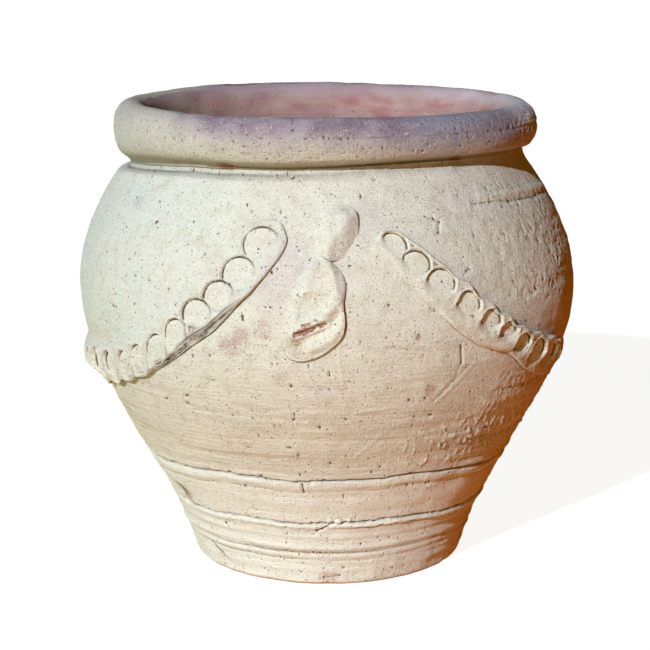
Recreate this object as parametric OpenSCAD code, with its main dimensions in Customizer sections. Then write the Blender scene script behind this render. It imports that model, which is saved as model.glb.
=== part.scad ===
// Thrown terracotta planter with a rolled rim, two thumb-pressed swags and two pressed drops.
// Millimetres, +Z up. The origin is on the turning axis at the ground, and the front faces -Y.
// Angles run round the axis from the front, positive towards +X.

/* [Body] */
// Outer radius of the wall at the ground
foot_r = 104.2; // [92:0.1:118]
// How far the wall leans out at the ground, for each mm up
foot_flare = 0.21; // [0.1:0.01:0.4]
// Outer radius at the widest line
belly_r = 190; // [178:0.5:205]
// Height of the widest line
belly_h = 212; // [204:1:224]
// Outer radius of the neck under the rim
neck_r = 151; // [140:0.5:162]
// Height of the neck, where the rim is seated
neck_h = 309; // [300:1:325]
// How far the shoulder draws in at the neck, for each mm up
neck_draw = 0.8; // [0.5:0.01:1.1]
// Thickness of the wall
wall_t = 12; // [9:0.5:16]
// Rounding of the outer edge at the ground
foot_round = 2.5; // [1:0.5:4]

/* [Floor] */
// Thickness of the floor
floor_t = 15; // [10:0.5:20]
// Thickness of the wall's skirt round the floor
skirt_t = 5; // [3:0.5:7]
// Radius of the drain hole
drain_r = 10; // [5:0.5:20]

/* [Ring lines] */
// Height of the lower ring line, where the foot band ends
low_ring_h = 55; // [45:1:70]
// Height of the upper ring line, where the belly wall starts
high_ring_h = 93; // [80:1:120]
// Depth of the crack along a ring line
crack_d = 1.5; // [0.5:0.1:3]
// Height of the first throwing ridge on the foot band
ridge_h = 25; // [18:0.5:34]
// Distance from one throwing ridge to the next
ridge_pitch = 7; // [5:0.5:9]
// How far a throwing ridge stands out
ridge_rise = 0.9; // [0.3:0.1:2]
// Width of a throwing ridge
ridge_w = 4; // [2:0.5:5]

/* [Rim] */
// Width of the rim roll, through the clay
roll_w = 31; // [24:0.5:38]
// Height of the rim roll
roll_h = 45.5; // [36:0.5:56]
// How far the rim roll leans out at its top, in degrees
roll_lean_angle = 9; // [0:0.5:14]
// How far the middle of the roll stands in from the face of the neck
roll_inset = 5.8; // [3:0.1:9]
// How much of the roll is pressed flat where it sits on the neck
roll_flat = 1.6; // [1:0.1:4]

/* [Swags] */
// How far the middle of a swag hangs under the widest line at its lowest point
swag_low = 54; // [38:1:72]
// Angle from the front to the end of a swag
swag_end_angle = 11.5; // [10.5:0.1:16]
// How far the middle of the left swag lies under the neck at its ends
left_top = 28; // [23:1:46]
// How sharply the left swag drops from its ends
left_sag = 2.8; // [1.8:0.05:3.2]
// Width of the left swag
left_w = 28; // [22:0.5:32]
// How far the middle of the right swag lies under the neck at its ends
right_top = 35; // [25:1:50]
// How sharply the right swag drops from its ends
right_sag = 1.95; // [1.6:0.05:3]
// Width of the right swag
right_w = 25; // [20:0.5:30]
// How far a swag stands out from the wall
swag_rise = 8; // [5:0.5:11]
// Thickness of a swag at its pressed edge
swag_edge_t = 1.2; // [0.8:0.1:2.5]
// Number of thumb prints along a swag
prints = 24; // [20:1:28]
// Length of a thumb print along the swag
print_l = 21; // [16:0.5:26]
// Width of a thumb print across the swag
print_w = 20; // [14:0.5:22]
// Depth of a thumb print
print_d = 4.6; // [2:0.1:6]

/* [Buttons and drops] */
// How far the middle of a button lies under the neck
button_top = 32; // [29:0.5:37]
// Width of a button
button_w = 33; // [24:0.5:38]
// Length of a button up the wall
button_l = 40; // [32:0.5:42]
// How far a button stands out from the wall
button_rise = 12; // [7:0.5:15]
// Turn of a button and its drop, in degrees off the front and the back
button_angle = 1.6; // [0:0.1:3]
// Width of a drop
drop_w = 41; // [32:0.5:46]
// Length of a drop down the wall
drop_l = 71; // [56:0.5:80]
// How far a drop leans over, in degrees
drop_lean_angle = 8; // [0:0.5:14]
// How far the raised lip of a drop stands out from the wall
drop_rise = 8.5; // [6:0.5:11]
// Depth of the thumb hollow in a drop
hollow_d = 5; // [2:0.5:5.5]

/* [Hidden] */
$fn = 180;

// Clearance of a pressed-on piece from the wall, and of the floor from its skirt
seat_gap = 0.15;
// Clearance between two pressed-on pieces
piece_gap = 0.4;
// Step in height between the points of a turned outline
turn_step = 6;
// Half the height over which the wall's slope is measured
slope_span = 0.5;
// Points round the section of the rim roll
roll_points = 48;
// Rings of points along one thumb print
print_rings = 6;
// Steps in angle that measure the length of a swag
measure_steps = 120;
// Points round a button or a drop
patch_points = 32;
// Length over which the end of a swag is rounded off
swag_end_l = 13;
// How deep the hem of a print's dish reaches into the ridge beside it
print_soft = 2;
// Smallest share of the full width left at a closed end
tip = 0.08;

slip_cream = [0.84, 0.78, 0.66];
rim_mauve = [0.68, 0.56, 0.55];
bare_clay = [0.74, 0.52, 0.42];

// Cubic between two heights with a given radius and slope at each end
function cubic(z, z0, r0, m0, z1, r1, m1) =
    let (h = z1 - z0, t = (z - z0) / h)
    (2 * t ^ 3 - 3 * t ^ 2 + 1) * r0 + (t ^ 3 - 2 * t ^ 2 + t) * h * m0
        + (3 * t ^ 2 - 2 * t ^ 3) * r1 + (t ^ 3 - t ^ 2) * h * m1;

// Outer radius of the plain wall at a height
function wall_r(z) = z < belly_h
    ? cubic(z, 0, foot_r, foot_flare, belly_h, belly_r, 0)
    : cubic(z, belly_h, belly_r, 0, neck_h, neck_r, -neck_draw);

// Slope of the wall at a height, mm out for each mm up
function wall_slope(z) = (wall_r(z + slope_span) - wall_r(z - slope_span)) / slope_span / 2;

// Inner radius of the plain wall at a height, square to the slope
function inner_r(z) = wall_r(z) - wall_t * sqrt(1 + wall_slope(z) ^ 2);

// How far the throwing ridges lift the face at a height
function ridge_lift(z) = ridge_rise * max(0, max([for (k = [0, 1])
    1 - ((z - ridge_h - k * ridge_pitch) / (ridge_w / 2)) ^ 2]));

// Heights from one to another in even steps
function heights(z0, z1, step) =
    let (n = ceil((z1 - z0) / step))
    [for (i = [0 : n]) z0 + (z1 - z0) * i / n];

// List in reverse order
function reversed(v) = [for (i = [len(v) - 1 : -1 : 0]) v[i]];

// Point on the wall at an angle and a height, lifted square to the wall
function on_wall(a, z, lift) =
    let (m = wall_slope(z), k = lift / sqrt(1 + m ^ 2), r = wall_r(z) + k)
    [r * sin(a), -r * cos(a), z - k * m];

// Point a distance along and up the wall from a place on it, lifted square to the wall
function near_wall(a, z, along, up, lift) =
    let (z1 = z + up / sqrt(1 + wall_slope(z) ^ 2))
    on_wall(a + along / wall_r(z1) * 180 / PI, z1, lift);

// Running sums of a list
function sums(v, i = 0, total = 0) = i == len(v)
    ? [total]
    : concat([total], sums(v, i + 1, total + v[i]));

// Height of the middle of a swag at an angle from the front
function hang(a, top, sag) =
    let (low_h = belly_h - swag_low, top_h = neck_h - top)
    low_h + (top_h - low_h) * (abs(90 - a) / (90 - swag_end_angle)) ^ sag;

// Table of length along a swag against angle
function swag_table(top, sag) =
    let (
        angles = [for (i = [0 : measure_steps])
            swag_end_angle + (180 - 2 * swag_end_angle) * i / measure_steps],
        spots = [for (a = angles) on_wall(a, hang(a, top, sag), 0)],
        gaps = [for (i = [1 : measure_steps]) norm(spots[i] - spots[i - 1])],
        run = sums(gaps)
    )
    [for (i = [0 : measure_steps]) [run[i], angles[i]]];

// Share of the full width and height left near a rounded end
function end_share(d) = d >= swag_end_l ? 1 : max(tip, sqrt(1 - (1 - d / swag_end_l) ^ 2));

// Places across a swag, from its lower edge to its upper edge, as shares of the half width
across = [-1, -0.88, -0.64, -0.32, 0, 0.32, 0.64, 0.88, 1];
under = [1, 0.5, 0, -0.5, -1];

// Height of a swag over the wall: a rounded coil with a dish pressed into it at each print
function swag_lift(share, d, w, pitch, run) =
    let (
        from_print = abs((d - pitch / 2) % pitch - pitch / 2),
        nearest = min(from_print, pitch - from_print),
        past_ends = d < pitch / 2 || d > run - pitch / 2,
        along = past_ends ? min(abs(d - pitch / 2), abs(d - run + pitch / 2)) : pitch / 2 - from_print,
        dish = 1 - (2 * along / print_l) ^ 2 - (share * w / print_w) ^ 2,
        coil = swag_edge_t + (swag_rise - swag_edge_t) * (1 - abs(share) ^ 4)
    )
    max(swag_edge_t, coil - print_d * max(0, dish) ^ (1 / print_soft));

// One ring of points round a swag at a distance along it
function swag_ring(d, run, table, top, sag, w) =
    let (
        a = lookup(d, table),
        z = hang(a, top, sag),
        pitch = run / prints,
        ahead = lookup(min(d + pitch / 20, run), table),
        behind = lookup(max(d - pitch / 20, 0), table),
        step = [(ahead - behind) * PI / 180 * wall_r(z),
            (hang(ahead, top, sag) - hang(behind, top, sag)) * sqrt(1 + wall_slope(z) ^ 2)],
        dir = step / norm(step),
        share = end_share(min(d, run - d)),
        half = w / 2 * share
    )
    concat(
        [for (k = across) near_wall(a, z, -dir.y * half * k, dir.x * half * k,
            seat_gap + share * swag_lift(k, d, w, pitch, run))],
        [for (k = under) near_wall(a, z, -dir.y * half * k, dir.x * half * k, seat_gap)]
    );

// Closed skin over a row of rings that all have the same number of points
module skin(rings) {
    n = len(rings[0]);
    last = len(rings) - 1;
    sides = [for (j = [0 : last - 1]) for (i = [0 : n - 1])
        let (b = (i + 1) % n)
        each [[j * n + i, j * n + b, (j + 1) * n + b], [j * n + i, (j + 1) * n + b, (j + 1) * n + i]]];
    start = [for (i = [1 : n - 2]) [0, i + 1, i]];
    end = [for (i = [1 : n - 2]) [last * n, last * n + i, last * n + i + 1]];
    polyhedron(points = [for (ring = rings) each ring], faces = concat(sides, start, end));
}

// Turned wall between two heights, with its edge chamfered where a crack runs round it
module turned_wall(z0, z1, low_crack, high_crack) {
    outer = concat(
        [[wall_r(z0) - low_crack, z0]],
        [for (z = heights(z0 + low_crack, z1 - high_crack, turn_step)) [wall_r(z), z]],
        high_crack > 0 ? [[wall_r(z1) - high_crack, z1]] : []
    );
    inner = [for (z = reversed(heights(z0, z1, turn_step))) [inner_r(z), z]];
    rotate_extrude()
        polygon(concat(outer, inner));
}

// A swag on the right-hand side; the left one is its mirror image with its own sizes
module swag(top, sag, w) {
    table = swag_table(top, sag);
    run = table[measure_steps][0];
    count = prints * print_rings;
    ends = [for (k = [0.02, 0.1, 0.3, 0.6]) k * run / count];
    spots = concat(ends, [for (i = [1 : count - 1]) run * i / count], [for (e = reversed(ends)) run - e]);
    skin([for (d = spots) swag_ring(d, run, table, top, sag, w)]);
}

// Rings of a pressed-on patch, from the middle of its face round its edge to its underside
module patch(a, z, face, back, outline, lift) {
    turns = [for (i = [0 : patch_points - 1]) 360 * i / patch_points];
    skin(concat(
        [for (k = face) [for (t = turns)
            let (p = k * outline(t))
            near_wall(a, z, p.x, p.y, seat_gap + lift(k, p))]],
        [for (k = back) [for (t = turns)
            let (p = k * outline(t))
            near_wall(a, z, p.x, p.y, seat_gap)]]
    ));
}

// Shares of the outline at which a patch has its rings, on the face and on the underside
face_rings = [0.04, 0.2, 0.38, 0.55, 0.7, 0.83, 0.93, 1];
back_rings = [1, 0.75, 0.5, 0.25, 0.04];

// Lump of clay at the middle of the front or the back, between the swags
module button() {
    outline = function (t) [-button_w / 2 * sin(t), button_l / 2 * cos(t)];
    // The face is highest above and left of the middle, where the thumb left it flat
    lift = function (k, p)
        let (tilt = (p.y / button_l - p.x / button_w) * button_rise / 3)
        swag_edge_t + (button_rise - swag_edge_t) * (1 - k ^ 3) * 0.8
            + min(0.2 * button_rise, tilt) * (1 - k ^ 4);
    color(slip_cream)
        patch(button_angle, neck_h - button_top, face_rings, back_rings, outline, lift);
}

// Petal of clay under the button, its face hollowed by a thumb inside a raised lip
module drop() {
    // The point hangs just under the button, and the petal leans about it
    button_h = neck_h - button_top;
    reach = button_l / 2 + piece_gap + drop_l / 2;
    drop_h = button_h - reach / sqrt(1 + wall_slope(button_h - button_l) ^ 2);
    drop_angle = button_angle - drop_l / 2 * sin(drop_lean_angle) / belly_r * 180 / PI;
    // A petal with its point at the top, leaning over
    outline = function (t)
        let (x = -drop_w / 2 * sin(t) * (1 - 0.42 * cos(t)), y = drop_l / 2 * cos(t))
        [x * cos(drop_lean_angle) + y * sin(drop_lean_angle),
            y * cos(drop_lean_angle) - x * sin(drop_lean_angle)];
    lift = function (k, p)
        let (
            side = (p.x - p.y / 2) / drop_w,
            rim = swag_edge_t + (drop_rise - swag_edge_t) * (1 - k ^ 6) * (0.85 + 0.3 * side),
            dish = 1 - (p.x / drop_w * 2.7) ^ 2 - ((p.y + drop_l * 0.12) / drop_l * 2.9) ^ 2
        )
        max(swag_edge_t, rim - hollow_d * sqrt(max(0, dish)));
    color(slip_cream)
        patch(drop_angle, drop_h, face_rings, back_rings, outline, lift);
}

module floor_disc() {
    color(bare_clay)
        difference() {
            cylinder(h = floor_t, r = foot_r - skirt_t - seat_gap);
            translate([0, 0, -floor_t / 2])
                cylinder(h = floor_t * 2, r = drain_r);
        }
}

module foot_band() {
    fine_step = ridge_w / 4;
    outer = concat(
        [[wall_r(0) - foot_round, 0], [wall_r(0) - foot_round / 4, foot_round / 4]],
        [for (z = heights(foot_round, low_ring_h - crack_d, fine_step)) [wall_r(z) + ridge_lift(z), z]],
        [[wall_r(low_ring_h) - crack_d, low_ring_h]]
    );
    inner = [for (z = reversed(heights(floor_t, low_ring_h, turn_step))) [inner_r(z), z]];
    // The skirt below the inner face leaves room for the floor, which the wall stands on
    skirt = [[foot_r - skirt_t, floor_t], [foot_r - skirt_t, 0]];
    color(slip_cream)
        rotate_extrude()
            polygon(concat(outer, inner, skirt));
}

module lower_band() {
    color(slip_cream)
        turned_wall(low_ring_h, high_ring_h, crack_d, crack_d);
}

module belly_wall() {
    color(slip_cream)
        turned_wall(high_ring_h, belly_h, crack_d, 0);
}

module shoulder_wall() {
    color(slip_cream)
        turned_wall(belly_h, neck_h, 0, 0);
}

// The roll's section is an ellipse that leans out and is pressed flat on the neck
module rim_roll() {
    roll_r = neck_r - roll_inset;
    roll_mid_h = neck_h - roll_flat + roll_h / 2;
    section = [for (i = [0 : roll_points - 1])
        let (t = 360 * i / roll_points, x = roll_w / 2 * cos(t), y = roll_h / 2 * sin(t))
        [roll_r + x * cos(roll_lean_angle) + y * sin(roll_lean_angle),
            max(neck_h, roll_mid_h + y * cos(roll_lean_angle) - x * sin(roll_lean_angle))]];
    color(rim_mauve)
        rotate_extrude()
            polygon(section);
}

module left_swag() {
    color(slip_cream)
        mirror([1, 0, 0])
            swag(left_top, left_sag, left_w);
}

module right_swag() {
    color(slip_cream)
        swag(right_top, right_sag, right_w);
}

module front_button() {
    button();
}

module front_drop() {
    drop();
}

module back_button() {
    rotate([0, 0, 180])
        button();
}

module back_drop() {
    rotate([0, 0, 180])
        drop();
}

floor_disc();
foot_band();
lower_band();
belly_wall();
shoulder_wall();
rim_roll();
left_swag();
right_swag();
front_button();
front_drop();
back_button();
back_drop();
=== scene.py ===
import math

import bpy
import numpy as np
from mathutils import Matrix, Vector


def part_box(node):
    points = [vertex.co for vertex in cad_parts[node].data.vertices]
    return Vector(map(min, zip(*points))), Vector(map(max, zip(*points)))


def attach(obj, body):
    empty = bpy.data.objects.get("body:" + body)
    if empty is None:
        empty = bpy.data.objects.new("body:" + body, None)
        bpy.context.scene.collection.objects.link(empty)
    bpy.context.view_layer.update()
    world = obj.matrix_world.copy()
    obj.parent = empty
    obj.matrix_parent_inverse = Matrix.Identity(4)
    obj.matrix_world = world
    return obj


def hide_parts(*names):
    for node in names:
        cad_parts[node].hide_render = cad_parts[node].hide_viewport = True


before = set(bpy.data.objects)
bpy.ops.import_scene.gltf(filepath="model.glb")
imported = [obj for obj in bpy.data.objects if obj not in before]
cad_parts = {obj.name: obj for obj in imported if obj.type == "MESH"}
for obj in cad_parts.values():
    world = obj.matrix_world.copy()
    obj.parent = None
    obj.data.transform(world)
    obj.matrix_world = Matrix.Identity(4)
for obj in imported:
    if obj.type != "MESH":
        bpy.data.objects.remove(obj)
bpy.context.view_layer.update()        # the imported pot: all its clay is on the one body, root

# A thrown terracotta planter, modelled in millimetres and written back in metres.
# Angles run round the pot in degrees from the front, positive towards +X.
MM = 0.001


def reach_of_node(node, axis=2):
    """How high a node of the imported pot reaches, or how far along another axis, in mm"""
    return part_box(node)[1][axis] / MM


LOW_RING_H = reach_of_node("foot_band")
HIGH_RING_H = reach_of_node("lower_band")
BELLY_H = reach_of_node("belly_wall")
NECK_H = reach_of_node("shoulder_wall")
RIM_TOP_H = reach_of_node("rim_roll")
BELLY_R = reach_of_node("belly_wall", 0)
FLOOR_R = reach_of_node("floor_disc", 0)
FLOOR_T = reach_of_node("floor_disc")

# The wall's own shape, the same as the pot's construction
FOOT_R = 104.2
FOOT_FLARE = 0.21
FOOT_ROUND = 2.5
NECK_R = 151
NECK_DRAW = 0.8
NECK_TURN = 6
WALL_T = 12
DRAIN_R = 10
SKIRT_R = FLOOR_R + 0.15

# The rim roll's section, an ellipse that leans out
ROLL_W = 31
ROLL_H = 45.5
ROLL_LEAN = math.radians(9)
ROLL_R = NECK_R - 5.8
ROLL_MID_H = NECK_H - 1.6 + ROLL_H / 2

# The curves in which the swags hang, and the places of the buttons and drops
SWAG_END = 11.5
SWAG_LOW_H = BELLY_H - 54
LEFT_TOP_H = NECK_H - 28
LEFT_SAG = 2.8
RIGHT_TOP_H = NECK_H - 35
RIGHT_SAG = 1.95
BUTTON_H = NECK_H - 32
BUTTON_ANGLE = 1.6
DROP_H = 226
DROP_ANGLE = -2.3

# Vertices round the pot; they lie closer together at the front, where the ornament is
ROUND = 896
CROWD = 21

# Distances between rows of points up the wall, finer on the shoulder, and close at a ring line's edge
STEP = 1.5
SHOULDER_STEP = 1.2
FOOT_STEP = 1.3
INNER_STEP = 7
EDGE_ROWS = (0, 0.45, 0.9, 1.4, 2.0, 2.7, 3.5, 4.5, 5.7, 7.0)

CELLS = 1024


def noise(across, up, seed, turn=CELLS):
    """Smooth lumps between -1 and 1, one unit apart; across, they repeat after turn units"""
    lattice = np.random.default_rng(seed).uniform(-1, 1, (CELLS, CELLS))
    column, row = np.floor(across).astype(int), np.floor(up).astype(int)
    x, y = across - column, up - row
    x, y = x * x * (3 - 2 * x), y * y * (3 - 2 * y)
    left, right = column % turn, (column + 1) % turn
    low, high = row % CELLS, (row + 1) % CELLS
    bottom = lattice[left, low] * (1 - x) + lattice[right, low] * x
    top = lattice[left, high] * (1 - x) + lattice[right, high] * x
    return bottom * (1 - y) + top * y


def layered(angle, z, layers):
    """Adds up layers of noise: the lift of each, its count in a turn, its size up in mm, and its seed"""
    turn = angle / 360
    return sum(lift * noise(turn * count, z / size, seed, count) for lift, count, size, seed in layers)


def ease(value, start, end):
    """0 before start, 1 after end, and smooth between them"""
    share = np.clip((value - start) / (end - start), 0, 1)
    return share * share * (3 - 2 * share)


def hump(distance, width):
    """A rounded bump, 1 in the middle and about a third at its width"""
    return np.exp(-(distance / width) ** 2)


def rounded(distance, width, least=0):
    """A quarter circle: least at an edge, 1 from the width on"""
    inside = np.clip(distance / width, 0, 1)
    return np.sqrt(np.maximum(least, 1 - (1 - inside) ** 2))


def mixed(a, b, share):
    return a + (b - a) * share


def cubic(z, z0, r0, m0, z1, r1, m1):
    """A curve through two radii with a given slope at each"""
    h = z1 - z0
    t = (z - z0) / h
    return ((2 * t ** 3 - 3 * t ** 2 + 1) * r0 + (t ** 3 - 2 * t ** 2 + t) * h * m0
            + (3 * t ** 2 - 2 * t ** 3) * r1 + (t ** 3 - t ** 2) * h * m1)


def wall_r(z):
    """Outer radius of the plain wall at a height"""
    under = cubic(z, 0, FOOT_R, FOOT_FLARE, BELLY_H, BELLY_R, 0)
    over = cubic(z, BELLY_H, BELLY_R, 0, NECK_H, NECK_R, -NECK_DRAW)
    return np.where(z < BELLY_H, under, over)


def wall_slope(z):
    return wall_r(z + 0.5) - wall_r(z - 0.5)


def slant(z):
    """How much longer a piece of the sloping face is than its height"""
    return np.sqrt(1 + wall_slope(z) ** 2)


def inner_r(z):
    return wall_r(z) - WALL_T * slant(z)


def round_line(places, ease_width=7):
    """Height of a line that runs round the pot through a few (angle, height) places"""
    angles = np.arange(-180, 180, 0.5)
    known, heights = zip(*places)
    line = np.interp(angles, known, heights, period=360)
    reach = np.arange(-60, 61) * 0.5
    weight = np.exp(-(reach / ease_width) ** 2)
    padded = np.concatenate([line[-60:], line, line[:60]])
    eased = np.convolve(padded, weight / weight.sum(), "valid")
    return lambda angle: np.interp(angle, angles, eased, period=360)


def flat_line(height):
    return lambda angle: height + 0 * angle


# The three lines round the pot aren't level: the turner's tool rose and fell a little
high_ring = round_line([(-150, 90), (-95, 86), (-71, 86), (-50, 91), (-31, 93.5), (-8, 92), (0, 93),
                        (28, 94.5), (46, 91.5), (64, 88), (95, 87), (150, 92)])
low_ring = round_line([(-150, 56), (-95, 53), (-53, 52.5), (-28, 54.5), (-6, 54), (0, 55), (15, 56),
                       (30, 56), (47, 53), (62, 54), (95, 54), (150, 56)])
neck_line = round_line([(-150, 309), (-90, 307), (-62, 312.5), (-46, 315.2), (-31, 316.3), (-14, 316.8),
                        (0, 317.5), (15, 319), (30, 319.3), (60, 317), (90, 314), (150, 310)])

# How far the axis of the thrown pot leans off to the left, by height
LEAN = [(0, -0.8), (100, -2.6), (212, -1.9), (290, -2.6), (353, -3.2)]


def lean(angle, z):
    heights, shifts = zip(*LEAN)
    return np.interp(z, heights, shifts) * np.sin(np.radians(angle))


HAND_LUMPS = [(0.9, 14, 80, 11), (0.45, 44, 28, 12), (0.2, 120, 9, 16), (0.06, 330, 3.6, 17)]
THROWING_MARKS = [(0.3, 6, 6.5, 13), (0.2, 15, 3.1, 14)]
SLIP_STREAKS = [(0.16, 26, 1.7, 15)]


def thrown(angle, z):
    """Lift of the face over the plain wall: soft lumps of the hand, level throwing marks and streaks"""
    low_body = ease(z, 190, 130)
    right = ease(angle, 10, 45) * ease(angle, 150, 110)
    marks = (0.25 + 0.75 * low_body + 0.5 * right) * layered(angle, z, THROWING_MARKS)
    return layered(angle, z, HAND_LUMPS) + marks + (0.1 + 0.7 * low_body) * layered(angle, z, SLIP_STREAKS)


# Ridges near the foot by height, rise and width, and fainter lines under the swags by height and depth
FOOT_RIDGES = [(43, 0.6, 1.5), (33, 1.2, 2.3), (25.5, 1.1, 2.0), (20, 0.5, 1.2), (13, 0.4, 1.6)]
FAINT_LINES = [(171, 0.55), (158, 0.3), (145.5, 0.6), (134, 0.3), (128, 0.45), (116, 0.4), (104, 0.35)]
CRACK_W = 0.8


def ring_wear(angle):
    """Round the two ring lines: how worn they are, how they waver in mm, and where the lower one gapes"""
    level = 0 * angle
    wear = 0.5 + layered(angle, level, [(0.5, 90, 1, 21)])
    waver = layered(angle, level, [(0.55, 70, 1, 22), (0.4, 260, 1, 23)])
    return wear, waver, ease(layered(angle, level, [(1, 230, 1, 20)]), -0.35, 0.3)


def ring_lines(angle, z):
    """The two cracked ring lines, the bead under each, and the soft ridges near the foot"""
    wear, waver, gapes = ring_wear(angle)
    above = z - high_ring(angle) + waver
    gap = (0.55 + 0.45 * ease(wear, 0.15, 0.6)) * (1 - 0.7 * hump(angle + 10, 3.5))
    deep = 2.5 + 1.3 * ease(angle, 0, 35)
    lift = 0.4 * hump(above - 3.4, 2.0) - 1.3 * deep * gap * hump(above, CRACK_W)
    lift = lift + (0.6 + 0.3 * wear) * ease(above, -0.3, -4.6) * ease(above, -9.6, -5.0)
    lift = lift - 0.5 * hump(above + 9.4 + layered(angle, 0 * z, [(0.5, 40, 1, 27)]), 0.9)
    below = z - low_ring(angle) + waver
    gap = (0.25 + 0.75 * gapes) * (0.5 + 0.5 * ease(1 - wear, 0.1, 0.6))
    lift = lift - 3.8 * gap * hump(below, CRACK_W)
    # Towards the right the ledge under the lower line is torn
    ragged = layered(angle, 0 * z, [(0.9, 200, 1, 28)])
    ledge = ease(below, -0.3, -3.0) * ease(below, -5.2 - ragged, -3.9 - ragged)
    lift = lift + (0.6 + 0.8 * ease(angle, -2, 12)) * ledge
    for height, rise, width in FOOT_RIDGES:
        drift = z - height - layered(angle, 0 * z, [(2.2, 5, 1, 24)]) + 3.5 * ease(abs(angle), 40, 90)
        full = 0.75 + layered(angle, 0 * z + height, [(0.4, 30, 1, 25)])
        lift = lift + rise * (full * hump(drift, width) - 0.25 * hump(drift + 2.2 * width, 0.9 * width))
    for height, depth in FAINT_LINES:
        drift = z - height + 3 * ease(abs(angle), 25, 60)
        drift = drift + layered(angle, 0 * z + height, [(0.9, 18, 1, 26)])
        faint = depth * (0.5 + layered(angle, 0 * z + height, [(0.5, 16, 1, 29)]))
        lift = lift + faint * (0.4 * hump(drift + 2, 1.2) - hump(drift, 0.9))
    return lift


def wall_painted_shade(angle, z):
    """How much painted shade darkens the cracks and pits; of the rings, the lower is a chain of small gaps"""
    wear, waver, gapes = ring_wear(angle)
    upper = (0.45 + 0.5 * ease(wear, 0.15, 0.6)) * hump(z - high_ring(angle) + waver, CRACK_W)
    lower = (0.3 + 0.6 * gapes) * hump(z - low_ring(angle) + waver, CRACK_W)
    # Painted shade in the mouth of the pit that a lump of lime left
    pit = hump(np.hypot(np.radians(angle + 57.3) * wall_r(z) / 8, (z - 64.8) / 4.2), 1)
    # Painted shade in the groove under the roll
    groove = 0.22 * hump(z - neck_line(angle) + 2, 4.5)
    return np.maximum.reduce([upper, lower, pit, groove])


def dry_side(angle, z):
    """Where the slip dried rough: on the right, over the shoulder and along the edge of the belly"""
    shoulder = ease(angle, 14, 44) * ease(angle, 135, 110) * ease(z, 206, 230) * ease(z, 306, 296)
    low = ease(angle, 22, 46) * ease(angle, 125, 95) * ease(z, 96, 104) * ease(z, 206, 150)
    return shoulder, low


def rough(angle, z):
    """Pits, crumbs and drips in the slip"""
    shoulder, low = dry_side(angle, z)
    pitted = (0.35 + 0.65 * ease(angle, 36, 60)) * (0.6 + layered(angle, z, [(0.5, 60, 14, 32)]))
    pits = ease(layered(angle, z, [(1, 520, 1.8, 31)]), 0.2, 0.65)
    skin = layered(angle, z, [(0.2, 560, 1.6, 33), (0.18, 260, 3.6, 30), (0.25, 150, 7, 39)])
    grit = layered(angle, z, [(1, 520, 1.9, 34)])
    patch = ease(layered(angle, z, [(1, 60, 12, 35)]), -0.1, 0.5)
    lift = shoulder * (skin - 1.1 * pits * pitted)
    lift = lift + low * (0.35 * grit + 0.9 * ease(grit, 0.45, 0.9) * patch)
    crumbs = hump(angle - 34, 16) * hump(z - 122 - (angle - 34) * 0.5, 20)
    lift = lift + 1.3 * crumbs * ease(layered(angle, z, [(1, 400, 2.9, 36)]), 0.42, 0.8)
    # Small open pits all over
    open_pits = layered(angle, z, [(1, 500, 2.0, 37)]) * layered(angle, z, [(1, 180, 5, 38)])
    return lift - ease(open_pits, 0.42, 0.66)


# Strokes of a tool: the (angle, height) of both ends, then width and rise
STROKES = [
    ((29.0, 197.0), (29.6, 184.0), 1.1, -1.0),
    ((29.6, 184.0), (28.6, 176.0), 1.0, -0.8),
    ((31.9, 182.8), (23.8, 156.8), 0.8, -0.6),
    ((30.2, 183.5), (25.4, 165.5), 0.8, 0.45),
    ((33.4, 183.0), (24.6, 154.8), 0.9, 0.5),
    ((-54.6, 20.0), (-46.6, 11.4), 1.2, -1.0),
    ((5.8, 111.9), (15.5, 139.9), 0.9, 0.4),
    ((23.2, 285.4), (26.8, 281.5), 0.9, -1.0),
    ((26.8, 281.5), (25.8, 274.6), 0.9, -1.0),
    ((25.8, 274.6), (23.2, 277.1), 0.9, -0.7),
    ((-7.7, 90.0), (-7.5, 83.1), 1.1, -1.2),
    ((-2.4, 50.0), (1.0, 54.0), 1.3, -1.6),
    ((-4.4, 47.6), (-2.4, 50.0), 1.2, -1.4),
    ((-3.8, 5.5), (4.2, 7.5), 1.2, -0.8),
    ((41.0, 295.0), (80.0, 290.0), 2.4, 1.2),
    ((38.0, 290.5), (80.0, 285.5), 1.2, -0.9),
    ((-4.5, 184.0), (-2.5, 160.0), 1.8, 0.6),
    ((2.0, 192.0), (3.2, 172.0), 1.4, 0.5),
    ((-26.0, 191.0), (-17.0, 205.0), 1.3, -0.5),
    ((-18.5, 228.0), (-10.0, 252.0), 2.2, -0.6),
    ((12.0, 200.0), (22.0, 196.0), 1.0, -0.6),
    ((6.0, 152.0), (13.0, 154.0), 1.3, 0.7),
]
# Dents, crumbs and soft bumps: angle, height, radius and rise
DENTS = [
    (-59.0, 64.5, 7.0, -1.5), (-59.5, 53.0, 6.0, -1.0), (-8.2, 172.0, 1.5, -1.6), (0.3, 108.7, 1.4, -1.2),
    (-29.1, 94.6, 2.0, -1.3), (-19.5, 95.0, 1.8, -1.3), (-5.0, 92.5, 3.0, -1.0), (-1.5, 93.5, 2.6, -1.1),
    (3.0, 56.5, 3.4, 1.5), (6.5, 58.0, 2.4, 1.2), (0.0, 57.5, 2.6, 1.2), (-2.5, 50.5, 2.2, 0.8),
    (-8.9, 344.4, 1.4, -1.0), (-35.0, 150.0, 3.0, -0.7), (38.0, 118.0, 2.6, 1.2), (44.0, 128.0, 2.2, 1.1),
    (21.7, 297.1, 2.2, 0.6), (-40.0, 44.0, 2.0, -0.9), (15.0, 300.0, 9.0, 0.6), (24.6, 280.0, 3.0, -0.5),
    (-6.0, 300.0, 12.0, -0.6), (11.0, 268.0, 7.0, 0.8), (7.0, 240.0, 9.0, 0.6), (-11.0, 182.0, 9.0, 0.7),
]
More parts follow.
